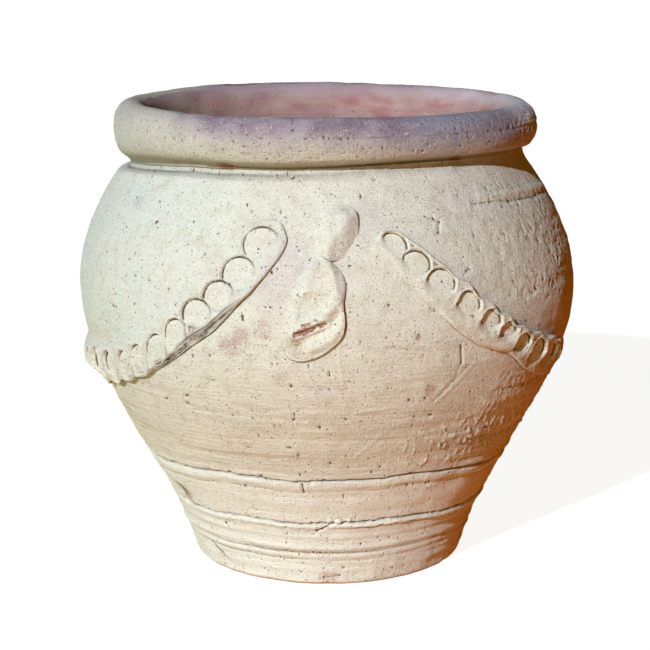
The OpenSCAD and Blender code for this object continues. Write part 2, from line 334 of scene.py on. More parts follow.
ROLL_DENTS = [(-8.9, 344.4, 1.6, -1.3), (24, 322, 1.8, -1.2), (-16.9, 350.0, 3.0, 0.7),
              (10, 328, 1.2, -0.9), (-35, 334, 4, -0.6), (5, 341, 1.3, -0.8)]


def dented(angle, z, dents, radius_at, longer, core):
    """Lift of small round dents on a face of some radius, flat within the core's share of each"""
    lift = 0 * z
    for a0, z0, radius, rise in dents:
        off = np.hypot(np.radians(angle - a0) * radius_at(z0), (z - z0) * longer)
        lift = lift + rise * ease(off, radius, radius * core)
    return lift


def marks(angle, z):
    """Strokes and dents that are placed one by one"""
    lift = dented(angle, z, DENTS, wall_r, slant(z), 0.35)
    for (a0, z0), (a1, z1), width, rise in STROKES:
        per_degree = math.pi / 180 * wall_r(z0)
        along, up = (a1 - a0) * per_degree, z1 - z0
        x, y = (angle - a0) * per_degree, z - z0
        share = np.clip((x * along + y * up) / (along ** 2 + up ** 2), 0, 1)
        lift = lift + rise * hump(np.hypot(x - share * along, (y - share * up) * slant(z)), width)
    return lift


def neck_pinch(angle, z):
    """The groove under the roll, deep on the left and hardly there on the right, and the upright wall in it"""
    top = neck_line(angle)
    turned_up = NECK_DRAW * np.clip(z - top + NECK_TURN, 0, NECK_TURN) ** 2 / NECK_TURN / 2
    return turned_up - (3.2 - 4.2 * np.sin(np.radians(angle))) * ease(z, top - 9, top - 1)


def soft_face(angle, z):
    return thrown(angle, z) + neck_pinch(angle, z)


def relief(angle, z):
    return soft_face(angle, z) + ring_lines(angle, z) + rough(angle, z) + marks(angle, z)


def placed(angle, r, z):
    turn = np.radians(angle)
    return np.stack([r * np.sin(turn), -r * np.cos(turn), z], axis=-1)


def on_face(angle, z, lift):
    """Place in mm of a point lifted square off the plain wall, on the leaning pot"""
    out = lift / slant(z)
    return placed(angle, wall_r(z) + out + lean(angle, z), z - out * wall_slope(z))


def near_face(angle, z, along, up, lift):
    """Place of a point a distance along and up the face from a spot on it, pressed to the real face"""
    height = z + up / slant(z)
    place = angle + np.degrees(along / wall_r(height))
    return on_face(place, height, soft_face(place, height) + lift)


def wall_end(angle):
    """Places along the wall's real upper end, where the roll is stroked down onto it"""
    height = neck_line(angle)
    return on_face(angle, height, relief(angle, height))


def wall_end_h(angle):
    return wall_end(angle)[..., 2]


# Work on meshes


def read_points(piece):
    flat = np.empty(len(piece.data.vertices) * 3)
    piece.data.vertices.foreach_get("co", flat)
    return flat.reshape(-1, 3) / MM


def write_points(piece, points):
    piece.data.vertices.foreach_set("co", (points * MM).ravel())
    piece.data.update()


def keep_on_points(piece, name, amount):
    """Keeps an amount from 0 to 1 on every point, for the material to read"""
    layer = piece.data.attributes.new(name, "FLOAT", "POINT")
    layer.data.foreach_set("value", np.clip(amount, 0, 1).astype(np.float32))


def pick_up(piece):
    bpy.ops.object.select_all(action="DESELECT")
    piece.select_set(True)
    bpy.context.view_layer.objects.active = piece


def outward(piece):
    """Merges what lies together and turns every face out"""
    pick_up(piece)
    bpy.ops.object.mode_set(mode="EDIT")
    bpy.ops.mesh.select_all(action="SELECT")
    bpy.ops.mesh.remove_doubles(threshold=0.00001)
    bpy.ops.mesh.normals_make_consistent(inside=False)
    bpy.ops.object.mode_set(mode="OBJECT")


def settle_crease_shade(piece, smoothed):
    """Keeps how far each point lies in a crease or stands on an edge; half is neither. The material paints
    shade into the creases from it
    """
    count = len(piece.data.vertices)
    points = read_points(piece)
    normals = np.empty(count * 3)
    piece.data.vertex_normals.foreach_get("vector", normals)
    normals = normals.reshape(-1, 3)
    ends = np.empty(len(piece.data.edges) * 2, dtype=np.int32)
    piece.data.edges.foreach_get("vertices", ends)
    a, b = ends.reshape(-1, 2).T
    step = points[b] - points[a]
    step = step / (np.linalg.norm(step, axis=1) + 0.001)[:, None]
    ties = np.bincount(a, minlength=count) + np.bincount(b, minlength=count)
    sunk = np.bincount(a, (step * normals[a]).sum(axis=1), count)
    sunk = (sunk - np.bincount(b, (step * normals[b]).sum(axis=1), count)) / ties
    # No crease shade is painted along the joins: the slip covers the line between the two thrown halves, and
    # the line under the roll
    angle = np.degrees(np.arctan2(points[:, 0], -points[:, 1]))
    plain = np.zeros(count, bool)
    for line in smoothed:
        plain |= np.abs(points[:, 2] - line(angle)) < 2
    for _ in range(2):
        sunk[plain] = 0
        near = np.bincount(a, sunk[b], count) + np.bincount(b, sunk[a], count)
        sunk = 0.5 * sunk + 0.5 * near / ties
    sunk[plain] = 0
    keep_on_points(piece, "crease_shade_and_rub", 0.5 + sunk)


def turned(name, section):
    """Draws a closed section of (radius, height) points and turns it once round the axis"""
    bpy.ops.object.select_all(action="DESELECT")
    bpy.ops.mesh.primitive_circle_add(vertices=len(section), radius=MM)
    piece = bpy.context.object
    piece.name = name
    r, z = np.array(section, float).T
    write_points(piece, np.stack([0 * r, -r, z], axis=-1))
    wheel = piece.modifiers.new("wheel", "SCREW")
    wheel.steps = wheel.render_steps = ROUND
    wheel.use_merge_vertices = True
    wheel.merge_threshold = 0.00001
    bpy.ops.object.modifier_apply(modifier="wheel")
    outward(piece)
    return piece


def round_place(points):
    """Angle, radius and height of every point, with the angles crowded towards the front"""
    angle = np.degrees(np.arctan2(points[:, 0], -points[:, 1]))
    return angle - CROWD * np.sin(np.radians(angle)), np.hypot(points[:, 0], points[:, 1]), points[:, 2]


def even(z0, z1, step):
    count = max(1, round((z1 - z0) / step))
    return [z0 + (z1 - z0) * k / count for k in range(count + 1)]


def face_rows(z0, z1, fine_low, fine_high, step):
    """Heights up a face, close together next to a ring line"""
    low = [z0 + e for e in EDGE_ROWS] if fine_low else [z0]
    high = [z1 - e for e in reversed(EDGE_ROWS)] if fine_high else [z1]
    return low + even(low[-1], high[0], step)[1:-1] + high


FINGER_MARKS = [(1.1, 4, 9, 41), (0.5, 9, 4.5, 42), (0.8, 16, 50, 43)]


def inner_face(angle, r, z, height, fingers=1):
    """Places of the wall's inner side at its real height, with broad finger marks"""
    r = r - inner_r(z) + inner_r(height) + lean(angle, height)
    return placed(angle, r + fingers * layered(angle, height, FINGER_MARKS), height)


def wall_piece(name, z0, z1, low_line, high_line, fine_low, fine_high, step=STEP):
    """A turned band of the wall, moved to the real face, with its ends on two lines round the pot"""
    outer = [(wall_r(z), z) for z in face_rows(z0, z1, fine_low, fine_high, step)]
    inner = [(inner_r(z), z) for z in reversed(even(z0, z1, INNER_STEP))]
    piece = turned(name, outer + inner)
    angle, r, z = round_place(read_points(piece))
    share = ease(z, z0, z1)
    height = z + (low_line(angle) - z0) * (1 - share) + (high_line(angle) - z1) * share
    outside = r > (wall_r(z) + inner_r(z)) / 2
    face = on_face(angle, height, relief(angle, height))
    write_points(piece, np.where(outside[:, None], face, inner_face(angle, r, z, height)))
    # Painted shade in the cracks, the pit and the groove
    keep_on_points(piece, "painted_shade", wall_painted_shade(angle, height) * outside)
    return piece


def foot_band():
    """The wall's lowest band: a rounded foot outside, and a skirt round the floor inside"""
    corner = [(wall_r(0) - FOOT_ROUND, 0), (wall_r(0) - 1.2, 0.35), (wall_r(0) - 0.35, 1.2)]
    outer = corner + [(wall_r(z), z) for z in even(FOOT_ROUND, LOW_RING_H - EDGE_ROWS[-1], FOOT_STEP)[:-1]]
    outer += [(wall_r(LOW_RING_H - e), LOW_RING_H - e) for e in reversed(EDGE_ROWS)]
    # Clay is smeared into the corner between the wall and the floor
    smear = 9
    smear_h = FLOOR_T + smear
    inner = [(inner_r(z), z) for z in reversed(even(smear_h, LOW_RING_H, INNER_STEP))]
    cove = [(inner_r(smear_h) - smear * (1 - math.cos(t)), smear_h - smear * math.sin(t))
            for t in np.radians([18, 36, 54, 72, 90])]
    piece = turned("clay_foot_band", outer + inner + cove + [(SKIRT_R, FLOOR_T), (SKIRT_R, 0)])
    angle, r, z = round_place(read_points(piece))
    height = z + (low_ring(angle) - LOW_RING_H) * ease(z, FOOT_ROUND, LOW_RING_H)
    outside = r > (wall_r(z) + np.minimum(inner_r(z), SKIRT_R)) / 2
    outside &= (z > 0.01) | (r > FOOT_R - FOOT_ROUND - 0.1)
    uneven = 0.5 * ease(height, 5, 0) * (1 + noise(angle / 5, z * 0, 51, 72))
    face = on_face(angle, height, relief(angle, height) * ease(height, 0, 6) - uneven)
    face[:, :2] *= (1 + np.minimum(0, r - wall_r(z)) / wall_r(z))[:, None]
    face[:, 2] = np.where(z < FOOT_ROUND, z, face[:, 2])
    hidden = (z < FLOOR_T + 0.01) & (r > SKIRT_R - 0.1)
    back = np.where(hidden[:, None], placed(angle, r, z), inner_face(angle, r, z, height, 0.6))
    write_points(piece, np.where(outside[:, None], face, back))
    # Painted shade in the cracks, the pit and the groove
    keep_on_points(piece, "painted_shade", wall_painted_shade(angle, height) * outside)
    return piece


def rim_roll():
    """The fat coil round the mouth, fuller on the left and pressed flatter on the right"""
    turns = np.arange(0, 2 * math.pi, 2 * math.pi / 96)
    x, y = ROLL_W / 2 * np.cos(turns), ROLL_H / 2 * np.sin(turns)
    out = ROLL_R + x * math.cos(ROLL_LEAN) + y * math.sin(ROLL_LEAN)
    up = np.maximum(NECK_H, ROLL_MID_H + y * math.cos(ROLL_LEAN) - x * math.sin(ROLL_LEAN))
    # The points that are pressed flat spread evenly over the seat
    flat = up <= NECK_H
    out[flat] = np.linspace(out[flat].min(), out[flat].max(), flat.sum())
    piece = turned("clay_rim_roll", list(zip(out, up)))
    angle, r, z = round_place(read_points(piece))
    turn = angle / 360
    along = (r - ROLL_R) / (ROLL_W / 2)
    over = (z - ROLL_MID_H) / (ROLL_H / 2)
    share = (z - NECK_H) / (RIM_TOP_H - NECK_H)
    top = RIM_TOP_H - 0.4 + layered(angle, 0 * z, [(0.5, 7, 1, 61)])
    height = neck_line(angle) + share * (top - neck_line(angle))
    lumps = 0.7 * noise(turn * 18, over * 1.3 + 5, 62, 18) + 0.3 * noise(turn * 60, over * 3 + 9, 63, 60)
    lumps = lumps + 0.16 * noise(turn * 30, over * 11 + 40, 64, 30)
    lumps = lumps + 0.14 * noise(turn * 420, over * 12 + 60, 65, 420)
    # The roll's face is drawn flatter towards the right, with a line pressed along its middle
    face = ease(along, 0.1, 0.8)
    flatter = 0.9 * ease(np.sin(np.radians(angle)), 0.2, 1) * ease(over, -0.7, 0.2)
    line = 0.55 * hump(z - 335 - layered(angle, 0 * z, [(2.5, 6, 1, 66)]), 1.3)
    line = line * ease(angle, -35, 10) * ease(angle, 130, 95)
    flaked = 0.8 * ease(angle, 35, 60) * ease(angle, 140, 110)
    flaked = flaked * ease(layered(angle, z, [(1, 450, 2.3, 67)]), 0.4, 0.8)
    pits = 0.7 * ease(layered(angle, z, [(1, 470, 2.2, 68)]), 0.52, 0.85)
    dents = dented(angle, z, ROLL_DENTS, lambda height: r, 1, 0.3)
    lumps = (lumps + face * (dents - flatter - line - flaked - pits)) * ease(share, 0, 0.12)
    reach = np.hypot(along, over) + 0.001
    r_new = r + lean(angle, height) + lumps * along / reach
    # Below, the outer side of the roll is stroked down onto the upright end of the wall
    end = wall_end(angle)
    stroked = ease(along, -0.1, 0.25) * ease(height - neck_line(angle), 6.5, 0)
    r_new = mixed(r_new, np.hypot(end[:, 0], end[:, 1]), stroked)
    height = height + (end[:, 2] - neck_line(angle)) * stroked
    write_points(piece, placed(angle, r_new, height + lumps * over / reach))
    # Painted shade on the roll's lower side, where it is stroked down into the groove
    keep_on_points(piece, "painted_shade", 0.34 * stroked)
    return piece


def floor_disc():
    """The thrown floor, with a finger's spiral on it and a drain hole cut through"""
    top = [(r, FLOOR_T) for r in even(DRAIN_R + 1.6, FLOOR_R, 1.8)]
    hole = [(DRAIN_R, 1.2), (DRAIN_R, 5), (DRAIN_R, 10), (DRAIN_R, FLOOR_T - 1.6),
            (DRAIN_R + 0.5, FLOOR_T - 0.5)]
    bottom = [(r, 0) for r in reversed(even(DRAIN_R + 1.2, FLOOR_R, 8))]
    piece = turned("clay_floor", hole + top + bottom)
    angle, r, z = round_place(read_points(piece))
    upper = (z > FLOOR_T - 0.1) & (r < FLOOR_R - 0.5)
    spiral = 0.7 * np.sin(2 * math.pi * (r / 11 + angle / 360)) + 0.35 * noise(angle / 15, r / 6, 71, 24)
    dome = 0.8 * hump(r - DRAIN_R, 14)
    rise = np.where(upper, (spiral + dome) * ease(r, DRAIN_R, DRAIN_R + 6) - 0.7, 0)
    write_points(piece, placed(angle, r, z + rise))
    return piece


# The swags


class Swag:
    """A coil of clay in the curve in which it hangs: places along it, in mm, from its front end"""

    def __init__(self, top_h, sag, side):
        self.side = side
        self.angle = np.linspace(SWAG_END, 180 - SWAG_END, 1201)
        hang = (np.abs(90 - self.angle) / (90 - SWAG_END)) ** sag
        self.z = SWAG_LOW_H + (top_h - SWAG_LOW_H) * hang
        steps = np.diff(on_face(self.angle, self.z, 0), axis=0)
        self.run = np.concatenate([[0], np.cumsum(np.linalg.norm(steps, axis=1))])
        self.length = self.run[-1]

    def spot(self, distance):
        """Angle and height on the coil's middle line at a distance from its front end"""
        return np.interp(distance, self.run, self.angle), np.interp(distance, self.run, self.z)

    def place(self, along, across, lift):
        """Points at distances along the coil and across it, lifted off the face"""
        inside = np.clip(along, 0, self.length)
        angle, z = self.spot(inside)
        angle_ahead, z_ahead = self.spot(np.minimum(inside + 1, self.length))
        angle_behind, z_behind = self.spot(np.maximum(inside - 1, 0))
        dx = np.radians(angle_ahead - angle_behind) * wall_r(z)
        dy = (z_ahead - z_behind) * slant(z)
        size = np.hypot(dx, dy)
        dx, dy = dx / size, dy / size
        past = along - inside
        height = z + (dx * across + dy * past) / slant(z)
        turn = self.side * (angle + np.degrees((dx * past - dy * across) / wall_r(height)))
        return on_face(turn, height, soft_face(turn, height) + lift)


def strip(name, cells_along, cells_across):
    """A flat slab of clay, to be pressed on: returns it with its places along, across and up"""
    bpy.ops.object.select_all(action="DESELECT")
    bpy.ops.mesh.primitive_grid_add(x_subdivisions=cells_along, y_subdivisions=cells_across, size=1)
    piece = bpy.context.object
    piece.name = name
    slab = piece.modifiers.new("slab", "SOLIDIFY")
    slab.thickness = 0.1
    slab.offset = -1
    bpy.ops.object.modifier_apply(modifier="slab")
    along, across, up = (read_points(piece) * MM).T
    return piece, along + 0.5, across + 0.5, up > -0.05


def inside_print(along, across, centre, radii, tilt):
    """Places inside a thumb print: across it, up it, and how far outside its edge"""
    x, y = along - centre[0], across - centre[1]
    turn = math.radians(tilt)
    u, w = x * math.cos(turn) + y * math.sin(turn), -x * math.sin(turn) + y * math.cos(turn)
    return u, w, (np.hypot(u / radii[0], w / radii[1]) - 1) * (radii[0] + radii[1]) / 2


def dish(lift, inside, b, floor, ridge, faded, line):
    """Presses a thumb print of half height b, crisp above, faded or not below, with its rim pushed up"""
    u, w, outside = inside
    low_side = faded * ease(w / b, 0.1, -0.6)
    lift = lift + ridge * (1 - low_side) * hump(outside - 0.9, 0.9)
    pressed = ease(outside, 0.3 + 3 * low_side, -0.5 - 4.5 * low_side)
    lift = lift - pressed * np.maximum(0, lift - floor(u, w))
    # The nail side of the thumb leaves a fine line at the foot of the edge, on its upper side
    return lift - line * hump(outside + 0.8, 0.55) * ease(w / b, -0.5, 0.3)


# Thumb prints of the front half: place along and across the coil, half width, half height and tilt
LEFT_PRINTS = [(17.6, 2.0, 13.2, 13.0, 0), (42.6, -0.6, 12.6, 12.4, 0), (63.8, -2.2, 12.2, 11.8, 0),
               (84.8, -1.2, 12.0, 11.8, 0), (107, -3.0, 9.8, 11.8, 38), (130.5, -4.6, 10, 13.3, 42),
               (152.5, -4.2, 9.8, 13.3, 38), (171.8, -3.4, 9.4, 12.8, 24), (195, -0.8, 9.4, 12.8, 0),
               (217.5, 2, 9.4, 13.2, -4), (240, 1, 9, 12.4, 0), (262, 0.5, 9, 12, 0), (283, 0, 9, 11, 0)]
RIGHT_PRINTS = [(11, 2.0, 10.3, 8.2, 0), (31, 1.5, 10.6, 9.4, 10), (53, 1.2, 11, 10.0, 14),
                (79, -0.5, 9.8, 9.8, 17), (101.5, -1.4, 9.0, 8.2, 20), (120, -1.2, 8.8, 7.0, 26),
                (140.5, -3.4, 9.6, 8.4, 25), (164.5, -3, 10.2, 10.8, 14), (190, -0.2, 10.6, 11.6, 8),
                (214, -0.5, 10.2, 12, 0), (238, -1, 10.2, 12, 0), (262, -1, 10.2, 12, 0)]
# Reach of the coils' edges from their middle line, by distance from the nearer end
LEFT_BELOW = [(0, 7), (8, 12.5), (20, 14.6), (35, 15.4), (56, 16.2), (85, 18), (105, 16), (130, 16),
              (154, 15.6), (170, 13), (206, 12.6), (228, 13.5), (300, 14.5)]
LEFT_ABOVE = [(0, 12), (17, 18), (45, 15.5), (72, 13), (95, 12), (300, 12)]
RIGHT_BELOW = [(0, 8), (23, 9.8), (36, 12), (55, 16), (81, 20.5), (105, 21), (120, 17.8), (133, 14.8),
               (146, 16), (160, 18.5), (180, 18.5), (210, 16), (300, 15)]
RIGHT_ABOVE = [(0, 9), (12, 12), (31, 13.4), (50, 12.8), (75, 11.4), (97, 9.0), (115, 7.9), (136, 6.9),
               (159, 9.6), (183, 12.2), (300, 12.5)]
# Where each print of the right swag rises highest
RIGHT_TOPS = (8, 28, 48, 74, 96.5, 115, 136, 158.5, 183, 208, 232, 256)


def both_halves(prints, length, seed):
    """The prints of the front half, and the same hand's work on the back half"""
    jitter = np.random.default_rng(seed).uniform(-1, 1, (len(prints), 4))
    back = [(length - s + j[0] * 1.5, v + j[1], a + j[2] * 0.6, b + j[3] * 0.6, -tilt)
            for (s, v, a, b, tilt), j in zip(prints, jitter)]
    return prints + back


def reach_of(distance, places):
    known, widths = zip(*places)
    return np.interp(distance, known, widths)


def drawn_in(low, high, end, feather=0):
    """Draws both edges of a coil in towards its middle line at its rounded ends"""
    middle = (low + high) / 2
    return middle + (low - middle) * end, middle + (high + feather - middle) * end


def left_swag():
    """Round prints in a thick coil: its upper side is smoothed into the wall, its lower edge stands proud"""
    swag = Swag(LEFT_TOP_H, LEFT_SAG, -1)
    piece, along, across, top = strip("clay_left_swag", 720, 54)
    s = -3 + along * (swag.length + 6)
    near = np.minimum(s + 3, swag.length + 3 - s)
    side_on = ease(near, 195, 246)
    end = rounded(near, 15, 0.0004)
    scallop = 1.6 * ease(near, 150, 200) * np.cos(2 * math.pi * (near - 190) / 22.5)
    feather = 4 + 6 * ease(near, 10, 60)
    low, high = drawn_in(scallop - reach_of(near, LEFT_BELOW), reach_of(near, LEFT_ABOVE), end, feather)
    crest = 3.0 + 1.5 * ease(near, 15, 70) + 1.4 * ease(near, 120, 190) - 3.0 * ease(near, 208, 246)
    crest = (crest + 0.4 * noise(s / 24, s * 0, 81)) * end ** 0.5
    # The lowest rows wrap round the proud lip and turn in under it, or lie on the folded band
    fold = ease(near, 48, 70) * ease(near, 160, 138)
    band_w = 5.2 + 2.2 * hump(near - 96, 22)
    wrap = 11 / 54
    lip_r = 1.7
    up_lip = np.clip(across / wrap, 0, 1)
    bend = np.radians(-72 + 162 * up_lip)
    v_band = low + band_w * up_lip
    cracks = 0.8 * noise(s / 7, v_band / 0.9 + s / 40, 84) + 0.5 * noise(s / 3, v_band / 1.6, 87)
    lift_band = 0.9 + (crest - 0.9) * up_lip ** 1.4 + cracks * hump(up_lip - 0.5, 0.35)
    v_wrap = mixed(low + lip_r * (1 - np.cos(bend)), v_band, fold)
    lift_wrap = mixed(crest - lip_r + lip_r * np.sin(bend), lift_band, fold)
    start = low + mixed(lip_r, band_w, fold)
    beyond = np.clip((across - wrap) / (1 - wrap), 0, 1)
    v = np.where(across < wrap, v_wrap, start + beyond * (high - start))
    behind = v - start
    # Round the side of the pot it stands proud above and slopes in below
    lift = crest - 1.2 * ease(behind, 1, 12) * (1 - side_on) + 6 * side_on * ease(behind, 0, 13)
    lift = lift - (0.6 + 2.4 * side_on) * ease(behind, 15, 24)
    lift = lift * ease(high - v, 0, feather + 2)
    lift = lift + 0.25 * noise(s / 9, v / 9, 82) + 0.16 * noise(s / 3, v / 3, 83)
    print_shade = 0 * s
    for centre, side, a, b, tilt in both_halves(LEFT_PRINTS, swag.length, 86):
        far = min(centre, swag.length - centre)
        inside = inside_print(s, v, (centre, side), (a, b), tilt)
        if far < 95:
            level = lambda u, w: 0.5 + 0.006 * u ** 2 + 0.03 * np.minimum(w + 2, 0) ** 2
            lift = dish(lift, inside, b, level, 0.5, 0.3 if far < 50 else 0.75, 0.8)
        else:
            # These run out downwards over the lip, as arches with a steep top and a ridge between
            grow = float(ease(far, 110, 230))
            level = lambda u, w: 0.8 + 0.07 * (b - w) * (1 + grow) + 0.034 * u ** 2
            lift = dish(lift, inside, b, level, 0.7, 1, 0.95)
        # Painted shade in the deeper side of each print, towards the front
        u, w, outside = inside
        towards = -u / a if centre < swag.length / 2 else u / a
        kept = 0.5 * hump(outside + 0.7, 0.9) * ease(towards, 0.2, 0.9) * ease(w / b, -0.9, -0.2)
        print_shade = np.maximum(print_shade, kept)
    # A second contour round the front of the first print
    rim = np.minimum(np.hypot(s - 18, v - 2.2), np.hypot(swag.length - s - 18, v - 2.2))
    lift = lift - 0.35 * hump(rim - 15.2, 0.8) * ease(near, 20, 10) * ease(v, 11, 5) * ease(v, -10, -6)
    lift = np.where(across < wrap, np.minimum(lift_wrap, np.maximum(lift, lift_wrap - 0.8)), lift)
    lift = np.where((across < 0.001) | (along < 0.0001) | (along > 0.9999), -2, lift)
    lift = np.where(across > 0.999, -1, lift)
    write_points(piece, swag.place(s, v, np.where(top, lift, -3)))
    # Painted shade under the lip, and over the rough folded band with a dark line along its top
    patchy_shade = 0.36 + 0.5 * noise(s / 9, v_band / 1.4 + s / 40, 88) + 0.3 * noise(s / 2.2, v_band / 0.9, 89)
    dark_line = 0.85 * hump(up_lip - 0.93, 0.09) * ease(near, 128, 104)
    band = np.maximum(patchy_shade * hump(up_lip - 0.45, 0.42), dark_line) * fold * (across < wrap * 1.02)
    under = ease(across, 0.12 - 0.085 * fold, 0.05 - 0.035 * fold)
    keep_on_points(piece, "painted_shade", np.maximum.reduce([under, print_shade, band]))
    outward(piece)
    return piece


def right_swag():
    """Deep scoops under a thin raised lip, smeared out below into an apron"""
    swag = Swag(RIGHT_TOP_H, RIGHT_SAG, 1)
    piece, along, across, top = strip("clay_right_swag", 760, 60)
    s = -2 + along * (swag.length + 4)
    near = np.minimum(s + 2, swag.length + 2 - s)
    # From the third print on, its upper edge follows the arc of each print
    beat = np.cos(2 * math.pi * np.interp(near, RIGHT_TOPS, np.arange(len(RIGHT_TOPS))))
    high = reach_of(near, RIGHT_ABOVE) + ease(near, 40, 75) * (1.5 * beat - 0.4)
    end = rounded(near, 12, 0.0004)
    low, high = drawn_in(-reach_of(near, RIGHT_BELOW), high, end)
    # The highest rows wrap round the thin raised lip
    wrap = 1 - 9 / 60
    lip_r = 1.4
    bend = np.radians(90 - 150 * np.clip((across - wrap) / (1 - wrap), 0, 1))
    inner = np.clip(across / wrap, 0, 1)
    v = np.where(across > wrap, high - lip_r * (1 - np.cos(bend)), low + inner * (high - lip_r - low))
    deep = ease(near, 40, 130)
    crest = (3.6 + 2.0 * deep - 2.4 * ease(near, 200, 250) + 0.4 * noise(s / 26, s * 0, 91)) * end ** 0.5
    below = high - v
    side_on = ease(near, 185, 225)
    lift = crest - 0.7 * ease(below, 1.8, 6.5) - (0.8 + 0.9 * deep) * ease(below, 10, 26)
    edge = 0.5 + 1.2 * ease(near, 100, 150) * (1 - side_on) + 0.4 * noise(s / 12, s * 0, 92)
    lift = np.minimum(lift, edge + 0.3 * (v - low) + 2.4 * deep * (1 - side_on) * ease(v - low, 0, 4))
    lift = lift + 0.25 * noise(s / 10, v / 8, 93) + 0.2 * noise(s / 3, v / 3, 94)
    for centre, side, a, b, tilt in both_halves(RIGHT_PRINTS, swag.length, 95):
        far = min(centre, swag.length - centre)
        depth = 0.8 + 0.7 * float(ease(far, 40, 120)) - 0.8 * float(ease(far, 130, 190))
        lean_in = (0.04 + 0.09 * float(ease(far, 15, 85))) * (1 if centre < swag.length / 2 else -1)
        # Each scoop is steepest on the side of the print before it
        level = lambda u, w: depth + lean_in * u + 0.008 * w ** 2
        lift = dish(lift, inside_print(s, v, (centre, side), (a, b), tilt), b, level, 0.6, 1, 0.45)
    # The lip stays as a cord over the first prints, with a line pressed under it
    cord = ease(near, 4, 12) * ease(near, 92, 66) * (0.75 + 0.35 * noise(s / 7, s * 0, 96))
    lift = lift + cord * (0.8 * hump(below - 1.6, 1.3) - 0.3 * hump(below - 3.6, 0.8))
    # Round the side of the pot the upper edge sinks into the wall
    sunk = 0.6 * side_on
    lift = lift * (1 - sunk * ease(below, 9, 0))
    lift = np.where(across > wrap, crest * (1 - sunk) - lip_r + lip_r * np.sin(bend), lift)
    lift = np.where((across < 0.001) | (across > 0.999) | (along < 0.0001) | (along > 0.9999), -2, lift)
    write_points(piece, swag.place(s, v, np.where(top, lift, -3)))
    # Painted shade under the swag's lower edge
    keep_on_points(piece, "painted_shade", 0.8 * ease(near, 50, 90) * ease(across, 0.035, 0.012))
    outward(piece)
    return piece


# The buttons and drops


def pat(name, around, rings):
    """A ball of clay patted flat: shares of the way to its edge, turns in degrees, and which side is out"""
    bpy.ops.object.select_all(action="DESELECT")
    bpy.ops.mesh.primitive_uv_sphere_add(segments=around, ring_count=rings, radius=MM)
    piece = bpy.context.object
    piece.name = name
    x, y, z = read_points(piece).T
    lower = np.degrees(np.arccos(np.clip(z, -1, 1))) / 90
    return piece, np.where(lower <= 1, lower, 2 - lower), np.degrees(np.arctan2(x, y)), lower <= 1.0001


def closed_outline(places, turn):
    """Reach of an outline at turns, clockwise from straight up, eased through (turn, reach) places"""
    turns, reaches = zip(*places)
    fine = np.arange(0, 360, 2)
    reach = np.interp(fine, turns, reaches, period=360)
    weight = np.exp(-(np.arange(-8, 9) / 4) ** 2)
    padded = np.concatenate([reach[-8:], reach, reach[:8]])
    eased = np.convolve(padded, weight / weight.sum(), "valid")
    return np.interp(turn % 360, fine, eased, period=360)


def off_path(x, y, places):
    """Distance from a bent line through a few places, and how far along it, from 0 to 1"""
    best, share = np.full_like(x, 1e9), 0 * x
    for k, ((x0, y0), (x1, y1)) in enumerate(zip(places, places[1:])):
        dx, dy = x1 - x0, y1 - y0
        t = np.clip(((x - x0) * dx + (y - y0) * dy) / (dx * dx + dy * dy), 0, 1)
        off = np.hypot(x - x0 - t * dx, y - y0 - t * dy)
        share = np.where(off < best, (k + t) / (len(places) - 1), share)
        best = np.minimum(best, off)
    return best, share


def facing(turn, way):
    """1 on the side of a pat that looks one way, in degrees clockwise from up, and -1 opposite"""
    return np.cos(np.radians(turn - way))


# Outlines, as reach in mm by turn in degrees
BUTTON_OUTLINE = [(0, 21.5), (25, 22), (50, 19.5), (75, 16.2), (105, 15.6), (135, 16), (165, 18.5),
                  (190, 22.5), (205, 21.5), (230, 17), (260, 16), (300, 17), (335, 20)]
DROP_OUTLINE = [(5, 36), (17, 34.5), (32, 30.5), (48, 26), (60, 21.2), (73, 18.3), (90, 18), (113, 20.4),
                (135, 24.2), (160, 27.2), (178, 31.4), (196, 36.8), (207, 39.4), (217, 39.6), (232, 30),
                (250, 25), (275, 22), (310, 22), (340, 28)]


def button(name, seed, back):
    """A lump pressed on at a slant: one broad face catches the light, the other falls away to an edge"""
    piece, share, turn, out = pat(name, 192, 112)
    reach = closed_outline(BUTTON_OUTLINE, turn)
    spread = share ** 0.85 * reach
    x, y = spread * np.sin(np.radians(turn)), spread * np.cos(np.radians(turn))
    # The ridge runs from the upper right to the lower left
    off = 0.885 * (x + 0.8 - 1.1 * np.sin((y + 2) / 6)) - 0.466 * (y + 2)
    lit = 7.4 + 0.28 * off
    shaded = 8.0 - 0.58 * off
    lift = -1.1 * np.log(np.exp(-lit / 1.1) + np.exp(-shaded / 1.1))
    lift = lift - 0.9 * ease(y, 4, 20) - 0.10 * np.maximum(0, -y - 8)
    lift = lift + 0.5 * noise(x / 7 + 30, y / 7 + 30, seed)
    lift = lift + 0.16 * noise(x / 2.6 + 60, y / 4 + 60, seed + 1)
    # Only the right and lower edges stand up; the rest is smoothed into the wall
    stands = ease(facing(turn, 122), -0.25, 0.35)
    in_from_edge = reach - spread
    lift = lift * (rounded(in_from_edge, 1.8) * stands + ease(in_from_edge, -0.5, 11) * (1 - stands))
    tuck = 1 - 0.07 * stands * ease(share, 0.95, 1)
    lift = np.where(out & (share < 0.999), lift, -2)
    write_points(piece, near_face(BUTTON_ANGLE + 180 * back, BUTTON_H, x * tuck, y * tuck, lift))
    # Painted shade under the edges that stand up
    keep_on_points(piece, "painted_shade", 0.7 * stands * ease(share, 0.965, 0.99))
    outward(piece)
    return piece


